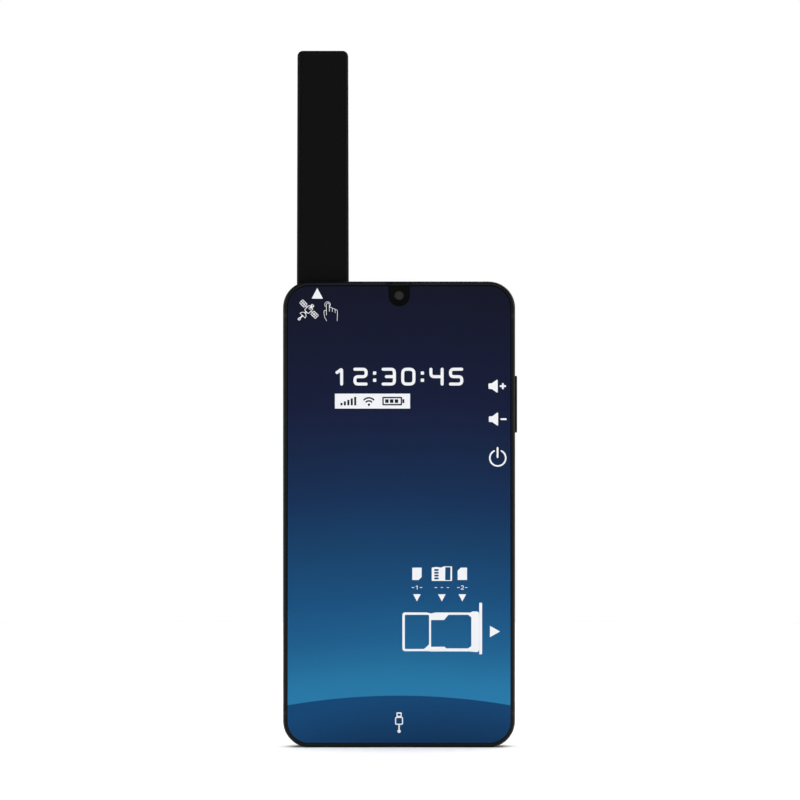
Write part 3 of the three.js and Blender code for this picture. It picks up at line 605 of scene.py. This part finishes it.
def moved(faces, x, z, turn=0.0):
    """Faces turned about their own origin by an angle in degrees and moved to a place on the film."""
    cosine, sine = math.cos(math.radians(turn)), math.sin(math.radians(turn))
    return [
        [(x + u * cosine - v * sine, z + u * sine + v * cosine) for u, v in face]
        for face in faces
    ]


# ---------- printed pictograms

INK = 0.02 * MM  # how far one layer of ink stands off what is under it
FILM_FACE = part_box("screen_film")[0].y
SLIVER = 1e-5  # square millimetres, below which a face is nothing
WELD = 1e-4  # millimetres, below which two corners are one
FLAT = 0.001  # radians, below which two faces are one

# Where the signs stand, in millimetres across and up the film.
ANTENNA_ARROW = (-29.83, 165.64)
SATELLITE = (-32.84, 159.85)
HAND = (-26.1, 161.5)
VOLUME_UP, VOLUME_UP_MARK = (34.35, 131.78), (37.85, 131.8)
VOLUME_DOWN, VOLUME_DOWN_MARK = (34.5, 119.75), (38.1, 119.75)
POWER = (35.99, 105.58)
CARD_PLACES = (6.52, 15.6, 23.07)
CARD_MIDDLE, CARD_LABELS, CARD_ARROWS = 63.35, 58.35, 54.6
TRAY_ARROW = (34.98, 42.32)
FINE_LINE = 0.22


def plate(name, faces, front, back):
    """A mesh object: faces in millimetres, across and up, united and given thickness between two depths."""
    faces = [face for face in faces if abs(signed_area(face)) > SLIVER]
    faces = [face if signed_area(face) > 0 else face[::-1] for face in faces]
    corners = [Vector(corner) for face in faces for corner in face]
    numbers = iter(range(len(corners)))
    indices = [[next(numbers) for _ in face] for face in faces]
    places, _, pieces, _, _, origins = delaunay_2d_cdt(corners, [], indices, 1, WELD)
    body = bmesh.new()
    points = [body.verts.new((place.x * MM, front, place.y * MM)) for place in places]
    for piece, origin in zip(pieces, origins):
        if origin:
            body.faces.new([points[corner] for corner in piece])
    bmesh.ops.delete(body, geom=[point for point in points if not point.link_faces], context="VERTS")
    bmesh.ops.dissolve_limit(body, angle_limit=FLAT, verts=body.verts, edges=body.edges)
    grown = bmesh.ops.extrude_face_region(body, geom=body.faces[:])["geom"]
    for element in grown:
        if isinstance(element, bmesh.types.BMVert):
            element.co.y = back
    bmesh.ops.recalc_face_normals(body, faces=body.faces)
    return object_of(name, body)


def printed(name, faces, material=None, layer=1):
    """One printed piece, as thick as the ink."""
    front = FILM_FACE - layer * INK
    back = FILM_FACE - (layer - 1) * INK + 0.2 * INK
    return finish_piece(plate(name, faces, front, back), material or WHITE_INK)


def triangle(x, z, half_base, height, turn=0.0):
    """A triangle that points up before it is turned, about the middle of its height."""
    corners = [(half_base, -height / 2), (0, height / 2), (-half_base, -height / 2)]
    return moved(filled(rounded(corners, 0.08)), x, z, turn)


def printed_arrows():
    """Arrows at the antenna's mouth and at the tray, and one under each card."""
    faces = triangle(*ANTENNA_ARROW, 2.06, 3.92)
    faces += triangle(*TRAY_ARROW, 2.08, 3.7, turn=-90)
    for x in CARD_PLACES:
        faces += triangle(x, CARD_ARROWS, 1.38, 2.6, turn=180)
    printed("print_arrows", faces)


def scaled_faces(faces, factor):
    """Faces made larger or smaller about their own origin."""
    return [[(x * factor, z * factor) for x, z in face] for face in faces]


def satellite_panel(x):
    """A solar wing with six cells."""
    cells = [
        rectangle(x + column, row, 0.56, 0.58)
        for column in (-0.8, 0, 0.8)
        for row in (-0.42, 0.42)
    ]
    return filled(rectangle(x, 0, 2.55, 1.9, 0.2), *cells)


def printed_satellite():
    """A satellite with two solar wings and a dish, leaning to the right."""
    faces = satellite_panel(-2.99) + satellite_panel(2.99)
    for side in (-1, 1):
        faces += filled(rectangle(1.4 * side, 0, 0.5, 0.5), rectangle(1.4 * side, 0, 0.28, 0.28))
    faces += filled(rectangle(0, -0.17, 2.3, 2.65, 0.45), rectangle(0, -0.17, 1.82, 2.17, 0.25))
    faces += filled(arc(0.05, 0.5, 0.48, 0, 345, 16), arc(0.05, 0.5, 0.26, 0, 330, 12))
    faces += filled(rectangle(0, 1.75, 1.2, 1.1, 0.3), rectangle(0, 1.8, 0.5, 0.4, 0.1))
    faces += filled(rectangle(0, -1.82, 0.75, 0.6, 0.1), rectangle(0, -1.82, 0.28, 0.26))
    faces += stroke(arc(0, -3.4, 1.28, 0, 180, 16), FINE_LINE, closed=True)
    faces += stroke([(0, -3.5), (0, -4.6)], 0.5)
    faces += filled(rectangle(0, -5.2, 0.95, 1.0, 0.15), rectangle(0, -5.15, 0.4, 0.45))
    printed("print_satellite", moved(scaled_faces(faces, 0.97), *SATELLITE, turn=-45))


def printed_hand():
    """A hand that taps with its first finger, and a ring round the fingertip."""
    lines = [
        [(-0.42, -4.0), (-0.42, 0)] + arc(0.14, 0, 0.56, 172, 8, 8) + [(0.7, -0.1), (0.7, -2.6)],
        [(0.7, -1.05)] + arc(1.29, -1.6, 0.55, 85, 5, 5) + [(1.84, -2.65)],
        [(1.84, -1.5)] + arc(2.35, -2.05, 0.55, 85, 5, 5) + [(2.9, -3.1)],
        [(2.9, -1.9)] + arc(3.2, -2.45, 0.55, 85, 5, 5) + [(3.75, -3.6), (3.7, -6.1)],
        [(-0.5, -2.2), (-1.2, -2.2), (-1.37, -2.7), (-1.3, -3.6), (-1.1, -4.6), (-0.8, -5.3), (-0.3, -6.1)],
        arc(0, 0, 1.08, 225, -45, 20),
    ]
    faces = [face for line in lines for face in stroke(line, 0.18)]
    printed("print_hand", moved(scaled_faces(faces, 0.96), *HAND))


def speaker(x, z):
    """A loudspeaker: a box with a cone that opens to the right."""
    corners = [(1.62, 2.36), (1.2, 2.3), (-0.5, 1.05), (-1.75, 1.0), (-1.75, -1.0), (-0.5, -1.05),
               (1.2, -2.3), (1.62, -2.36)]
    return moved(filled(rounded(corners, 0.3)), x, z)


def printed_key_signs():
    """Louder and quieter beside the two ends of the rocker, and a power sign beside the key below it."""
    bar = 0.68
    reach = 0.82
    plus = stroke([(-reach, 0), (reach, 0)], bar) + stroke([(0, -reach), (0, reach)], bar)
    printed("print_volume_up", speaker(*VOLUME_UP) + moved(plus, *VOLUME_UP_MARK))
    minus = stroke([(-reach, 0), (reach, 0)], bar)
    printed("print_volume_down", speaker(*VOLUME_DOWN) + moved(minus, *VOLUME_DOWN_MARK))
    ring = stroke(arc(0, 0, 2.9, 117, 423, 36), 0.58)
    stem = stroke([(-0.08, 0.35), (-0.08, 3.65)], bar)
    printed("print_power", moved(ring + stem, *POWER))


def printed_cards():
    """The three cards that the tray takes: two small ones with a cut corner, and a memory card."""
    half_width, half_height, cut = 1.7, 2.25, 1.1
    card = rounded(
        [(half_width, half_height), (cut - half_width, half_height), (-half_width, half_height - cut),
         (-half_width, -half_height), (half_width, -half_height)],
        0.2,
    )
    memory = rounded(
        [(3.72, 2.72), (0.9, 2.72), (-0.3, 2.27), (-2.1, 2.52), (-3.7, 2.27), (-3.7, -2.58), (3.72, -2.58)],
        0.2,
    )
    contacts = [rectangle(-1.97, 1.38 - 1.02 * row, 1.62, 0.7, 0.25) for row in range(4)]
    faces = moved(filled(card), CARD_PLACES[0], CARD_MIDDLE, turn=180)
    memory_card = filled(memory, rectangle(2.17, 0.05, 1.92, 4.7, 0.2), *contacts)
    faces += moved(memory_card, CARD_PLACES[1], CARD_MIDDLE)
    faces += moved(filled(card), CARD_PLACES[2], CARD_MIDDLE)
    printed("print_cards", faces)


def printed_labels():
    """Number signs under the first and last card, each between short rules."""
    rule = [(-0.35, 0), (0.35, 0)]
    one = stroke([(-0.35, 0.35), (0.1, 0.65), (0.1, -0.65)], FINE_LINE)
    two = stroke(
        [(-0.4, 0.5)] + arc(0.02, 0.28, 0.4, 120, -35, 6) + [(-0.42, -0.62), (0.45, -0.62)],
        FINE_LINE,
    )
    faces = []
    for place, sign, offset in zip(CARD_PLACES, (one, [], two), (1.45, 2.2, 1.45)):
        faces += moved(sign, place, CARD_LABELS)
        for x in (-offset, offset) if sign else (-offset, 0, offset):
            faces += moved(stroke(rule, FINE_LINE), place + x, CARD_LABELS)
    printed("print_labels", faces)


def printed_tray():
    """The card tray, drawn open at its two pockets, with its head bar on the right."""
    outer = rounded(
        [(1.2, 49.3), (1.2, 35.15), (10.4, 35.15), (11.7, 35.05), (25.6, 35.05), (29.2, 34.7),
         (29.2, 49.65), (26.6, 49.65), (26.2, 49.25), (13.2, 49.25), (11.6, 48.9), (10.2, 49.25)],
        1.1,
    )
    first = rounded([(2.1, 48.4), (2.1, 35.95), (9.1, 35.95), (10.95, 37.6), (10.95, 48.4)], 0.5)
    second = rounded(
        [(11.65, 46.5), (11.65, 36.75), (16.6, 36.75), (17.2, 36.15), (25.2, 36.15), (26.35, 37.0),
         (26.35, 47.5), (25.2, 48.4), (18.0, 48.4), (16.4, 46.5)],
        0.3,
    )
    faces = filled(outer, first, second)
    faces += filled(rectangle(29.75, 43.4, 1.04, 18.8, 0.25))
    printed("print_tray", faces)


CLOCK_LEFT, CLOCK_RIGHT = -23.8, 23.4
CLOCK_BASE = 132.0
DIGIT_WIDTH, DIGIT_HEIGHT, DIGIT_LINE = 5.2, 6.5, 1.1
COLON_WIDTH = 1.2


def digit_faces(digit):
    """A wide digit with rounded corners, about its lower left corner."""
    inset = DIGIT_LINE / 2
    left, right = inset, DIGIT_WIDTH - inset
    low, top = inset, DIGIT_HEIGHT - inset
    middle = DIGIT_HEIGHT / 2
    lines = {
        "0": [[(left, low), (left, top), (right, top), (right, low)]],
        "1": [[(left + 0.6, top - 1.2), (left + 2.3, top), (left + 2.3, low)]],
        "2": [[(left, top), (right, top), (right, middle), (left, middle), (left, low), (right, low)]],
        "3": [
            [(left, top), (right, top), (right, low), (left, low)],
            [(left + 1.2, middle), (right, middle)],
        ],
        "4": [[(left, top), (left, middle), (right, middle)], [(right, top), (right, low)]],
        "5": [[(right, top), (left, top), (left, middle), (right, middle), (right, low), (left, low)]],
    }
    if digit == "0":
        return stroke(rounded(lines[digit][0], 1.5), DIGIT_LINE, closed=True)
    radius = 0.3 if digit == "1" else 1.2
    return [face for line in lines[digit] for face in stroke(rounded_line(line, radius), DIGIT_LINE)]


def printed_clock():
    """A clock reading that fills its width."""
    reading = "12:30:45"
    widths = [COLON_WIDTH if sign == ":" else DIGIT_WIDTH for sign in reading]
    gap = (CLOCK_RIGHT - CLOCK_LEFT - sum(widths)) / (len(reading) - 1)
    faces = []
    x = CLOCK_LEFT
    for sign, width in zip(reading, widths):
        if sign == ":":
            for height in (0.3, 0.7):
                dot = rectangle(COLON_WIDTH / 2, DIGIT_HEIGHT * height, COLON_WIDTH, COLON_WIDTH, 0.3)
                faces += moved(filled(dot), x, CLOCK_BASE)
        else:
            faces += moved(digit_faces(sign), x, CLOCK_BASE)
        x += width + gap
    printed("print_clock", faces)


def printed_status_bar():
    """A white plate with dark signs for signal, link and charge."""
    left, bottom, width, height = -23.4, 123.6, 27.4, 5.45
    middle = bottom + height / 2
    link = left + 12.4
    cell = left + 20.9
    printed("print_status_plate", filled(rectangle(left + width / 2, middle, width, height, 0.12)))
    faces = []
    for step in range(5):
        tall = 0.9 + 0.55 * step
        faces += filled(rectangle(left + 2.4 + 1.25 * step, middle - 1.55 + tall / 2, 0.75, tall, 0.1))
    faces += filled(arc(link, middle - 1.3, 0.45, 0, 345, 12))
    for step in (1, 2):
        faces += stroke(arc(link, middle - 1.3, 0.3 + 1.1 * step, 45, 135, 8), 0.55)
    faces += filled(rectangle(cell, middle, 7.2, 3.1, 0.4), rectangle(cell, middle, 6.2, 2.1, 0.2))
    faces += filled(rectangle(cell + 4.05, middle, 0.7, 1.4, 0.15))
    for step in range(3):
        faces += filled(rectangle(cell - 1.95 + 1.75 * step, middle, 1.25, 1.3, 0.1))
    printed("print_status_signs", faces, DARK_INK, layer=2)


def printed_plug():
    """A plug on a cable, over the socket."""
    faces = filled(rectangle(0, 12.0, 1.9, 1.7, 0.3), rectangle(0, 11.95, 1.1, 0.8, 0.12))
    faces += filled(rectangle(0, 9.75, 2.9, 2.9, 0.6), rectangle(0, 9.75, 2.1, 2.1, 0.3))
    faces += stroke([(0, 8.2), (0, 6.4)], 0.5)
    faces += filled(arc(0, 5.95, 0.62, 0, 345, 16))
    printed("print_plug", faces)


printed_arrows()
printed_satellite()
printed_hand()
printed_key_signs()
printed_cards()
printed_labels()
printed_tray()
printed_clock()
printed_status_bar()
printed_plug()


# ---------- lenses

LENS_STEPS = 64
LENS_SHARP = math.radians(32)  # a turned piece's edges stay sharp above this
BAFFLE_BLACK = grained("lens_baffle", srgb(17, 17, 18), 0.6, 0.08 * MM, 0.004 * MM, specular=0.3)
TRIM_METAL = grained("lens_trim", srgb(84, 86, 90), 0.2, 0.1 * MM, 0.001 * MM, metallic=1.0)
REAR_COATING = polished_glass("rear_lens_coating", srgb(10, 9, 20), roughness=0.03, specular=0.9, film=420)
# The front lens's light grey-green is partly its coating's own tint and partly a painted highlight: the soft
# grey glow of a lit lens, painted into its colour.
FRONT_COATING_AND_SHEEN = polished_glass("front_lens_coating_and_sheen", srgb(19, 20, 19), roughness=0.4, specular=0.3)


def turned(name, centre, profile, material):
    """A solid turned about an axis along Y. profile is (radius, depth) points, and may close on itself."""
    x, z = centre
    body = bmesh.new()
    rings = []
    for radius, depth in profile:
        if radius == 0:
            rings.append([body.verts.new((x, depth, z))])
            continue
        ring = []
        for step in range(LENS_STEPS):
            angle = 2 * math.pi * step / LENS_STEPS
            ring.append(body.verts.new((x + radius * math.cos(angle), depth, z + radius * math.sin(angle))))
        rings.append(ring)
    if len(rings[0]) > 1:
        rings.append(rings[0])
    for first, second in zip(rings, rings[1:]):
        for step in range(LENS_STEPS):
            following = (step + 1) % LENS_STEPS
            corners = [first[step % len(first)], first[following % len(first)]]
            corners += [second[following % len(second)], second[step % len(second)]]
            body.faces.new(list(dict.fromkeys(corners)))
    bmesh.ops.recalc_face_normals(body, faces=body.faces)
    piece = object_of(name, body)
    piece.data.shade_smooth()
    piece.data.set_sharp_from_angle(angle=LENS_SHARP)
    return finish_piece(piece, material)


def dome(radius, rim, crown, steps=8):
    """The profile of a shallow lens face, from its rim to its crown on the axis."""
    points = []
    for step in range(steps):
        turn = math.pi / 2 * step / steps
        points.append((radius * math.cos(turn), rim + (crown - rim) * math.sin(turn)))
    return points + [(0, crown)]


def stairs(outer, inner, top, bottom, steps):
    """The profile of a stepped cone, from its wide upper edge down to its narrow floor."""
    riser = 0.7  # of a step's depth
    points = []
    for step in range(steps):
        radius = outer + (inner - outer) * step / steps
        points.append((radius, top + (bottom - top) * step / steps))
        points.append((radius, top + (bottom - top) * (step + riser) / steps))
    return points + [(0, bottom)]


# How deep each part of a camera's optics lies, as shares of the window from its face down.
GLASS_FACE, GLASS_SHOULDER, GLASS_THROAT = 0.1, 0.16, 0.22
TRIM_EDGE = 0.12
CONE_TOP, CONE_FLOOR = 0.3, 0.97
LENS_RIM, LENS_CROWN = 0.9, 0.3
TRIM_RISE = 0.14 * MM
# Shares of the radius that each belongs to.
GLASS_CHAMFER, GLASS_FLARE = 0.985, 1.05
CONE_NARROW = 0.6
TRIM_FILL = 0.98
SLACK = 0.99  # for a piece that sits inside another


def lens_stack(name, node, facing, aperture, lens, trim, coating, baffles):
    """A camera's optics in the space of its window, which they replace. facing is the way it looks along Y.

    aperture and trim are shares of the radius: the opening in the black glass, and a metal ring round it.
    lens is a share of the opening, and baffles is how many steps the cone behind the lens has."""
    low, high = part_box(node)
    radius = (high.x - low.x) / 2
    centre = ((low.x + high.x) / 2, (low.z + high.z) / 2)
    face, back = (high.y, low.y) if facing > 0 else (low.y, high.y)

    def depth(share):
        return face + (back - face) * share

    edge = radius * (1 - trim)
    opening = radius * aperture
    glass = turned(
        name + "_glass",
        centre,
        [(opening, back), (edge, back), (edge, depth(GLASS_SHOULDER)),
         (edge * GLASS_CHAMFER, depth(GLASS_FACE)), (opening * GLASS_FLARE, depth(GLASS_FACE)),
         (opening, depth(GLASS_THROAT))],
        MATERIALS["lens_glass"],
    )
    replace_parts(glass, node)
    if trim:
        middle = (radius + edge) / 2
        half = (radius - edge) / 2 * TRIM_FILL
        crown = [
            (middle + half * math.cos(turn), depth(TRIM_EDGE) + facing * TRIM_RISE * math.sin(turn))
            for turn in (math.pi * step / 8 for step in range(9))
        ]
        turned(name + "_trim", centre, [(middle + half, back)] + crown + [(middle - half, back)], TRIM_METAL)
    inside = opening * SLACK
    floor = depth(CONE_FLOOR)
    turned(
        name + "_baffle",
        centre,
        [(0, back), (inside, back)] + stairs(inside, opening * CONE_NARROW, depth(CONE_TOP), floor, baffles),
        BAFFLE_BLACK,
    )
    profile = [(0, floor)] + dome(opening * lens, depth(LENS_RIM), depth(LENS_CROWN))
    turned(name + "_lens", centre, profile, coating)


def flash_rings():
    """The lamp's lens: a drum whose face is cut in rings, each rising towards the middle."""
    low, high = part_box("flash_window")
    radius = (high.x - low.x) / 2
    centre = ((low.x + high.x) / 2, (low.z + high.z) / 2)
    face = high.y
    rings = 5
    cut = radius * 0.88  # the rings' outer radius, inside a flat lip
    profile = [(0, low.y), (radius, low.y), (radius, face - 0.06 * MM), (radius * 0.97, face)]
    profile.append((radius * 0.9, face))
    for ring in range(rings, 0, -1):
        profile.append((cut * ring / rings, face - 0.2 * MM))
        profile.append((cut * (ring - 1) / rings, face - 0.04 * MM))
    piece = turned("flash_rings", centre, profile, MATERIALS["flash_lens"])
    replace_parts(piece, "flash_window")


# The front optics take the coating whose lighter grey is partly a painted highlight.
FRONT_OPTICS = dict(facing=-1, aperture=0.8, lens=0.84, trim=0, coating=FRONT_COATING_AND_SHEEN, baffles=2)
REAR_OPTICS = dict(facing=1, aperture=0.52, lens=0.62, trim=0.12, coating=REAR_COATING, baffles=5)
lens_stack("front_lens", "front_camera_lens", **FRONT_OPTICS)
for camera in ("main", "wide", "close"):
    lens_stack(f"{camera}_lens", f"rear_camera_{camera}_window", **REAR_OPTICS)
flash_rings()


# ---------- screens, contacts and the antenna's seam


def weave(body, middle, right, up, half_right, half_up, pitch, wire, circular=False):
    """Adds crossing wires to a bmesh, over and under in turn, that fill a rectangle or a disc."""
    out = right.cross(up)
    runs = ((right, up, half_right, half_up, 1), (up, right, half_up, half_right, -1))
    for along, across, half_along, half_across, side in runs:
        rows = int(half_across / pitch)
        for row in range(-rows, rows + 1):
            offset = row * pitch
            reach = math.sqrt(max(half_along**2 - offset**2, 0)) if circular else half_along
            steps = int(reach / pitch)
            stations = [(step * pitch, side * (-1) ** (row + step)) for step in range(-steps, steps + 1)]
            rings = []
            for place, lift in [(-reach, 0)] + stations + [(reach, 0)]:
                spot = middle + along * place + across * offset + out * (lift * wire / 2)
                corners = (across, out, -across, -out)
                rings.append([body.verts.new(spot + corner * (wire / 2)) for corner in corners])
            for first, second in zip(rings, rings[1:]):
                for corner in range(4):
                    other = (corner + 1) % 4
                    body.faces.new((first[corner], first[other], second[other], second[corner]))
            body.faces.new(rings[0])
            body.faces.new(rings[-1])


def finish_weave(name, body):
    """The woven wires of a bmesh, as one piece."""
    bmesh.ops.recalc_face_normals(body, faces=body.faces)
    return finish_piece(object_of(name, body), SCREEN_WIRE)


def earpiece_screen():
    """Woven wire in the slit over the screen."""
    low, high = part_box("earpiece_mesh")
    half = (high - low) / 2
    pitch, wire = 0.17 * MM, 0.07 * MM
    body = bmesh.new()
    middle = Vector(((low.x + high.x) / 2, low.y + wire, (low.z + high.z) / 2))
    weave(body, middle, Vector((1, 0, 0)), Vector((0, 0, 1)), half.x, half.z, pitch, wire)
    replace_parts(finish_weave("earpiece_screen", body), "earpiece_mesh")


GRILLE_FIRST, GRILLE_PITCH, GRILLE_HOLES, GRILLE_RADIUS = 16 * MM, 2.6 * MM, 6, 0.7 * MM
GRILLE_DEPTH = 0.5 * MM  # of the screens, in from the bottom edge


def speaker_screens():
    """A disc of woven wire in each hole of the grille in the bottom edge."""
    socket_low, socket_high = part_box("usb_port_shell")
    middle_y = (socket_low.y + socket_high.y) / 2
    across, deep = Vector((1, 0, 0)), Vector((0, 1, 0))
    pitch, wire = 0.16 * MM, 0.06 * MM
    radius = GRILLE_RADIUS * SLACK
    body = bmesh.new()
    for hole in range(GRILLE_HOLES):
        middle = Vector((GRILLE_FIRST + hole * GRILLE_PITCH, middle_y, FRAME_LOW.z + GRILLE_DEPTH))
        weave(body, middle, across, deep, radius, radius, pitch, wire, circular=True)
    finish_weave("speaker_screens", body)


def add_box(body, low, high):
    """Adds a box to a bmesh, between its lowest and highest corners."""
    corners = [
        body.verts.new((x, y, z))
        for x in (low[0], high[0])
        for y in (low[1], high[1])
        for z in (low[2], high[2])
    ]
    for face in ((0, 1, 3, 2), (4, 6, 7, 5), (0, 4, 5, 1), (2, 3, 7, 6), (0, 2, 6, 4), (1, 5, 7, 3)):
        body.faces.new([corners[corner] for corner in face])


def socket_contacts():
    """Two rows of gold strips on the socket's tongue."""
    low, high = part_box("usb_port_tongue")
    count, pitch, half_width, thickness = 12, 0.5 * MM, 0.13 * MM, 0.03 * MM
    tip_gap, root_gap = 0.35 * MM, 2 * MM
    body = bmesh.new()
    for depth in (low.y - thickness, high.y):
        for place in range(count):
            x = (low.x + high.x) / 2 + (place - (count - 1) / 2) * pitch
            corner = (x - half_width, depth, low.z + tip_gap)
            add_box(body, corner, (x + half_width, depth + thickness, high.z - root_gap))
    finish_piece(object_of("socket_contacts", body), MATERIALS["gold_contact"])


def antenna_seam():
    """The bead of glue between the antenna's two shells, just inside their outline."""
    tip_band = 2.2 * MM  # of the shell's top, whose corners give its width there
    low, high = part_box("antenna_rear_shell")
    middle = (low.x + high.x) / 2
    spots = [vertex.co for vertex in NODES["antenna_rear_shell"].data.vertices]
    base_half = (high.x - low.x) / 2
    tip_half = max(abs(spot.x - middle) for spot in spots if spot.z > high.z - tip_band)
    sunk, width, corner = 0.12, 0.7, 1.9
    front, back = low.y - 0.055 * MM, low.y - 0.005 * MM
    outlines = []
    for inset in (sunk, sunk + width):
        foot, tip = base_half / MM - inset, tip_half / MM - inset
        bottom, top = low.z / MM + inset, high.z / MM - inset
        x = middle / MM
        corners = [(x + foot, bottom), (x + tip, top), (x - tip, top), (x - foot, bottom)]
        outlines.append(rounded(corners, corner - inset))
    seam = plate("antenna_seam", filled(*outlines), front, back)
    finish_piece(seam, SEAM_BEAD, body="antenna")


earpiece_screen()
speaker_screens()
socket_contacts()
antenna_seam()


# ---------- floor, light and camera

VIEW_WIDTH = 291.7 * MM
VIEW_CENTRE = Vector((0.34 * MM, FRAME_LOW.y, 126.73 * MM))
CAMERA_LENS = 200
SENSOR = 36
CAMERA_DISTANCE = VIEW_WIDTH * CAMERA_LENS / SENSOR
FLOOR_RADIUS = 0.9
DIM_WORLD, BRIGHT_BACKDROP = 0.05, 1.0  # the world's strength as light, and as the camera sees it


def make_camera():
    """A long lens, level and square on to the phone's front."""
    data = bpy.data.cameras.new("camera")
    data.lens = CAMERA_LENS
    data.sensor_width = SENSOR
    data.clip_end = 20
    camera = object_from("camera", data)
    camera.location = VIEW_CENTRE - Vector((0, CAMERA_DISTANCE, 0))
    camera.rotation_euler = (math.radians(90), 0, 0)
    bpy.context.scene.camera = camera


def make_floor():
    """A plain pale disc under the phone."""
    shader = Shader("pale_floor", roughness=0.9, specular=0.1)
    paper = shader.noise(4 * MM, detail=2)
    shader.colour(shader.ramp(paper, [(0.3, (0.9, 0.9, 0.9, 1)), (0.7, (0.93, 0.93, 0.93, 1))]))
    body = bmesh.new()
    bmesh.ops.create_circle(body, cap_ends=True, segments=96, radius=FLOOR_RADIUS)
    data = bpy.data.meshes.new("floor")
    body.to_mesh(data)
    body.free()
    floor = object_from("floor", data)
    floor.location.z = FRAME_LOW.z
    floor.data.materials.append(shader.material)


def softbox(name, place, size, power, glossy=True, diffuse=True):
    """A square area light that faces the object. It may be left out of reflections, or shine in them only."""
    data = bpy.data.lights.new(name, "AREA")
    data.size = size
    data.energy = power
    light = object_from(name, data)
    light.location = place
    light.rotation_euler = (VIEW_CENTRE - Vector(place)).to_track_quat("-Z", "Y").to_euler()
    light.visible_glossy = glossy
    light.visible_diffuse = diffuse
    light.visible_camera = False


def make_light():
    """Soft boxes round the phone, and a white backdrop that gives little light."""
    softbox("top_softbox", (0, 0, 1.6), 2.4, 50, glossy=False)
    softbox("front_key", (0, -1.6, 1.0), 1.6, 14)
    softbox("left_rim", (-1.3, 0.5, 0.5), 0.7, 3)
    softbox("right_rim", (1.3, 0.5, 0.5), 0.7, 4)
    softbox("left_strip", (-1.4, -0.15, 0.35), 0.9, 5, diffuse=False)
    softbox("right_strip", (1.4, -0.15, 0.35), 0.9, 5, diffuse=False)
    softbox("back_fill", (0.6, 1.5, 0.9), 1.0, 10)
    world = bpy.data.worlds.new("studio")
    world.use_nodes = True
    tree = world.node_tree
    background = tree.nodes["Background"]
    background.inputs["Color"].default_value = (1, 1, 1, 1)
    path = tree.nodes.new("ShaderNodeLightPath")
    strength = tree.nodes.new("ShaderNodeMapRange")
    strength.inputs["To Min"].default_value = DIM_WORLD
    strength.inputs["To Max"].default_value = BRIGHT_BACKDROP
    tree.links.new(path.outputs["Is Camera Ray"], strength.inputs["Value"])
    tree.links.new(strength.outputs["Result"], background.inputs["Strength"])
    bpy.context.scene.world = world
    bpy.context.scene.view_settings.view_transform = "Standard"


make_camera()
make_floor()
make_light()
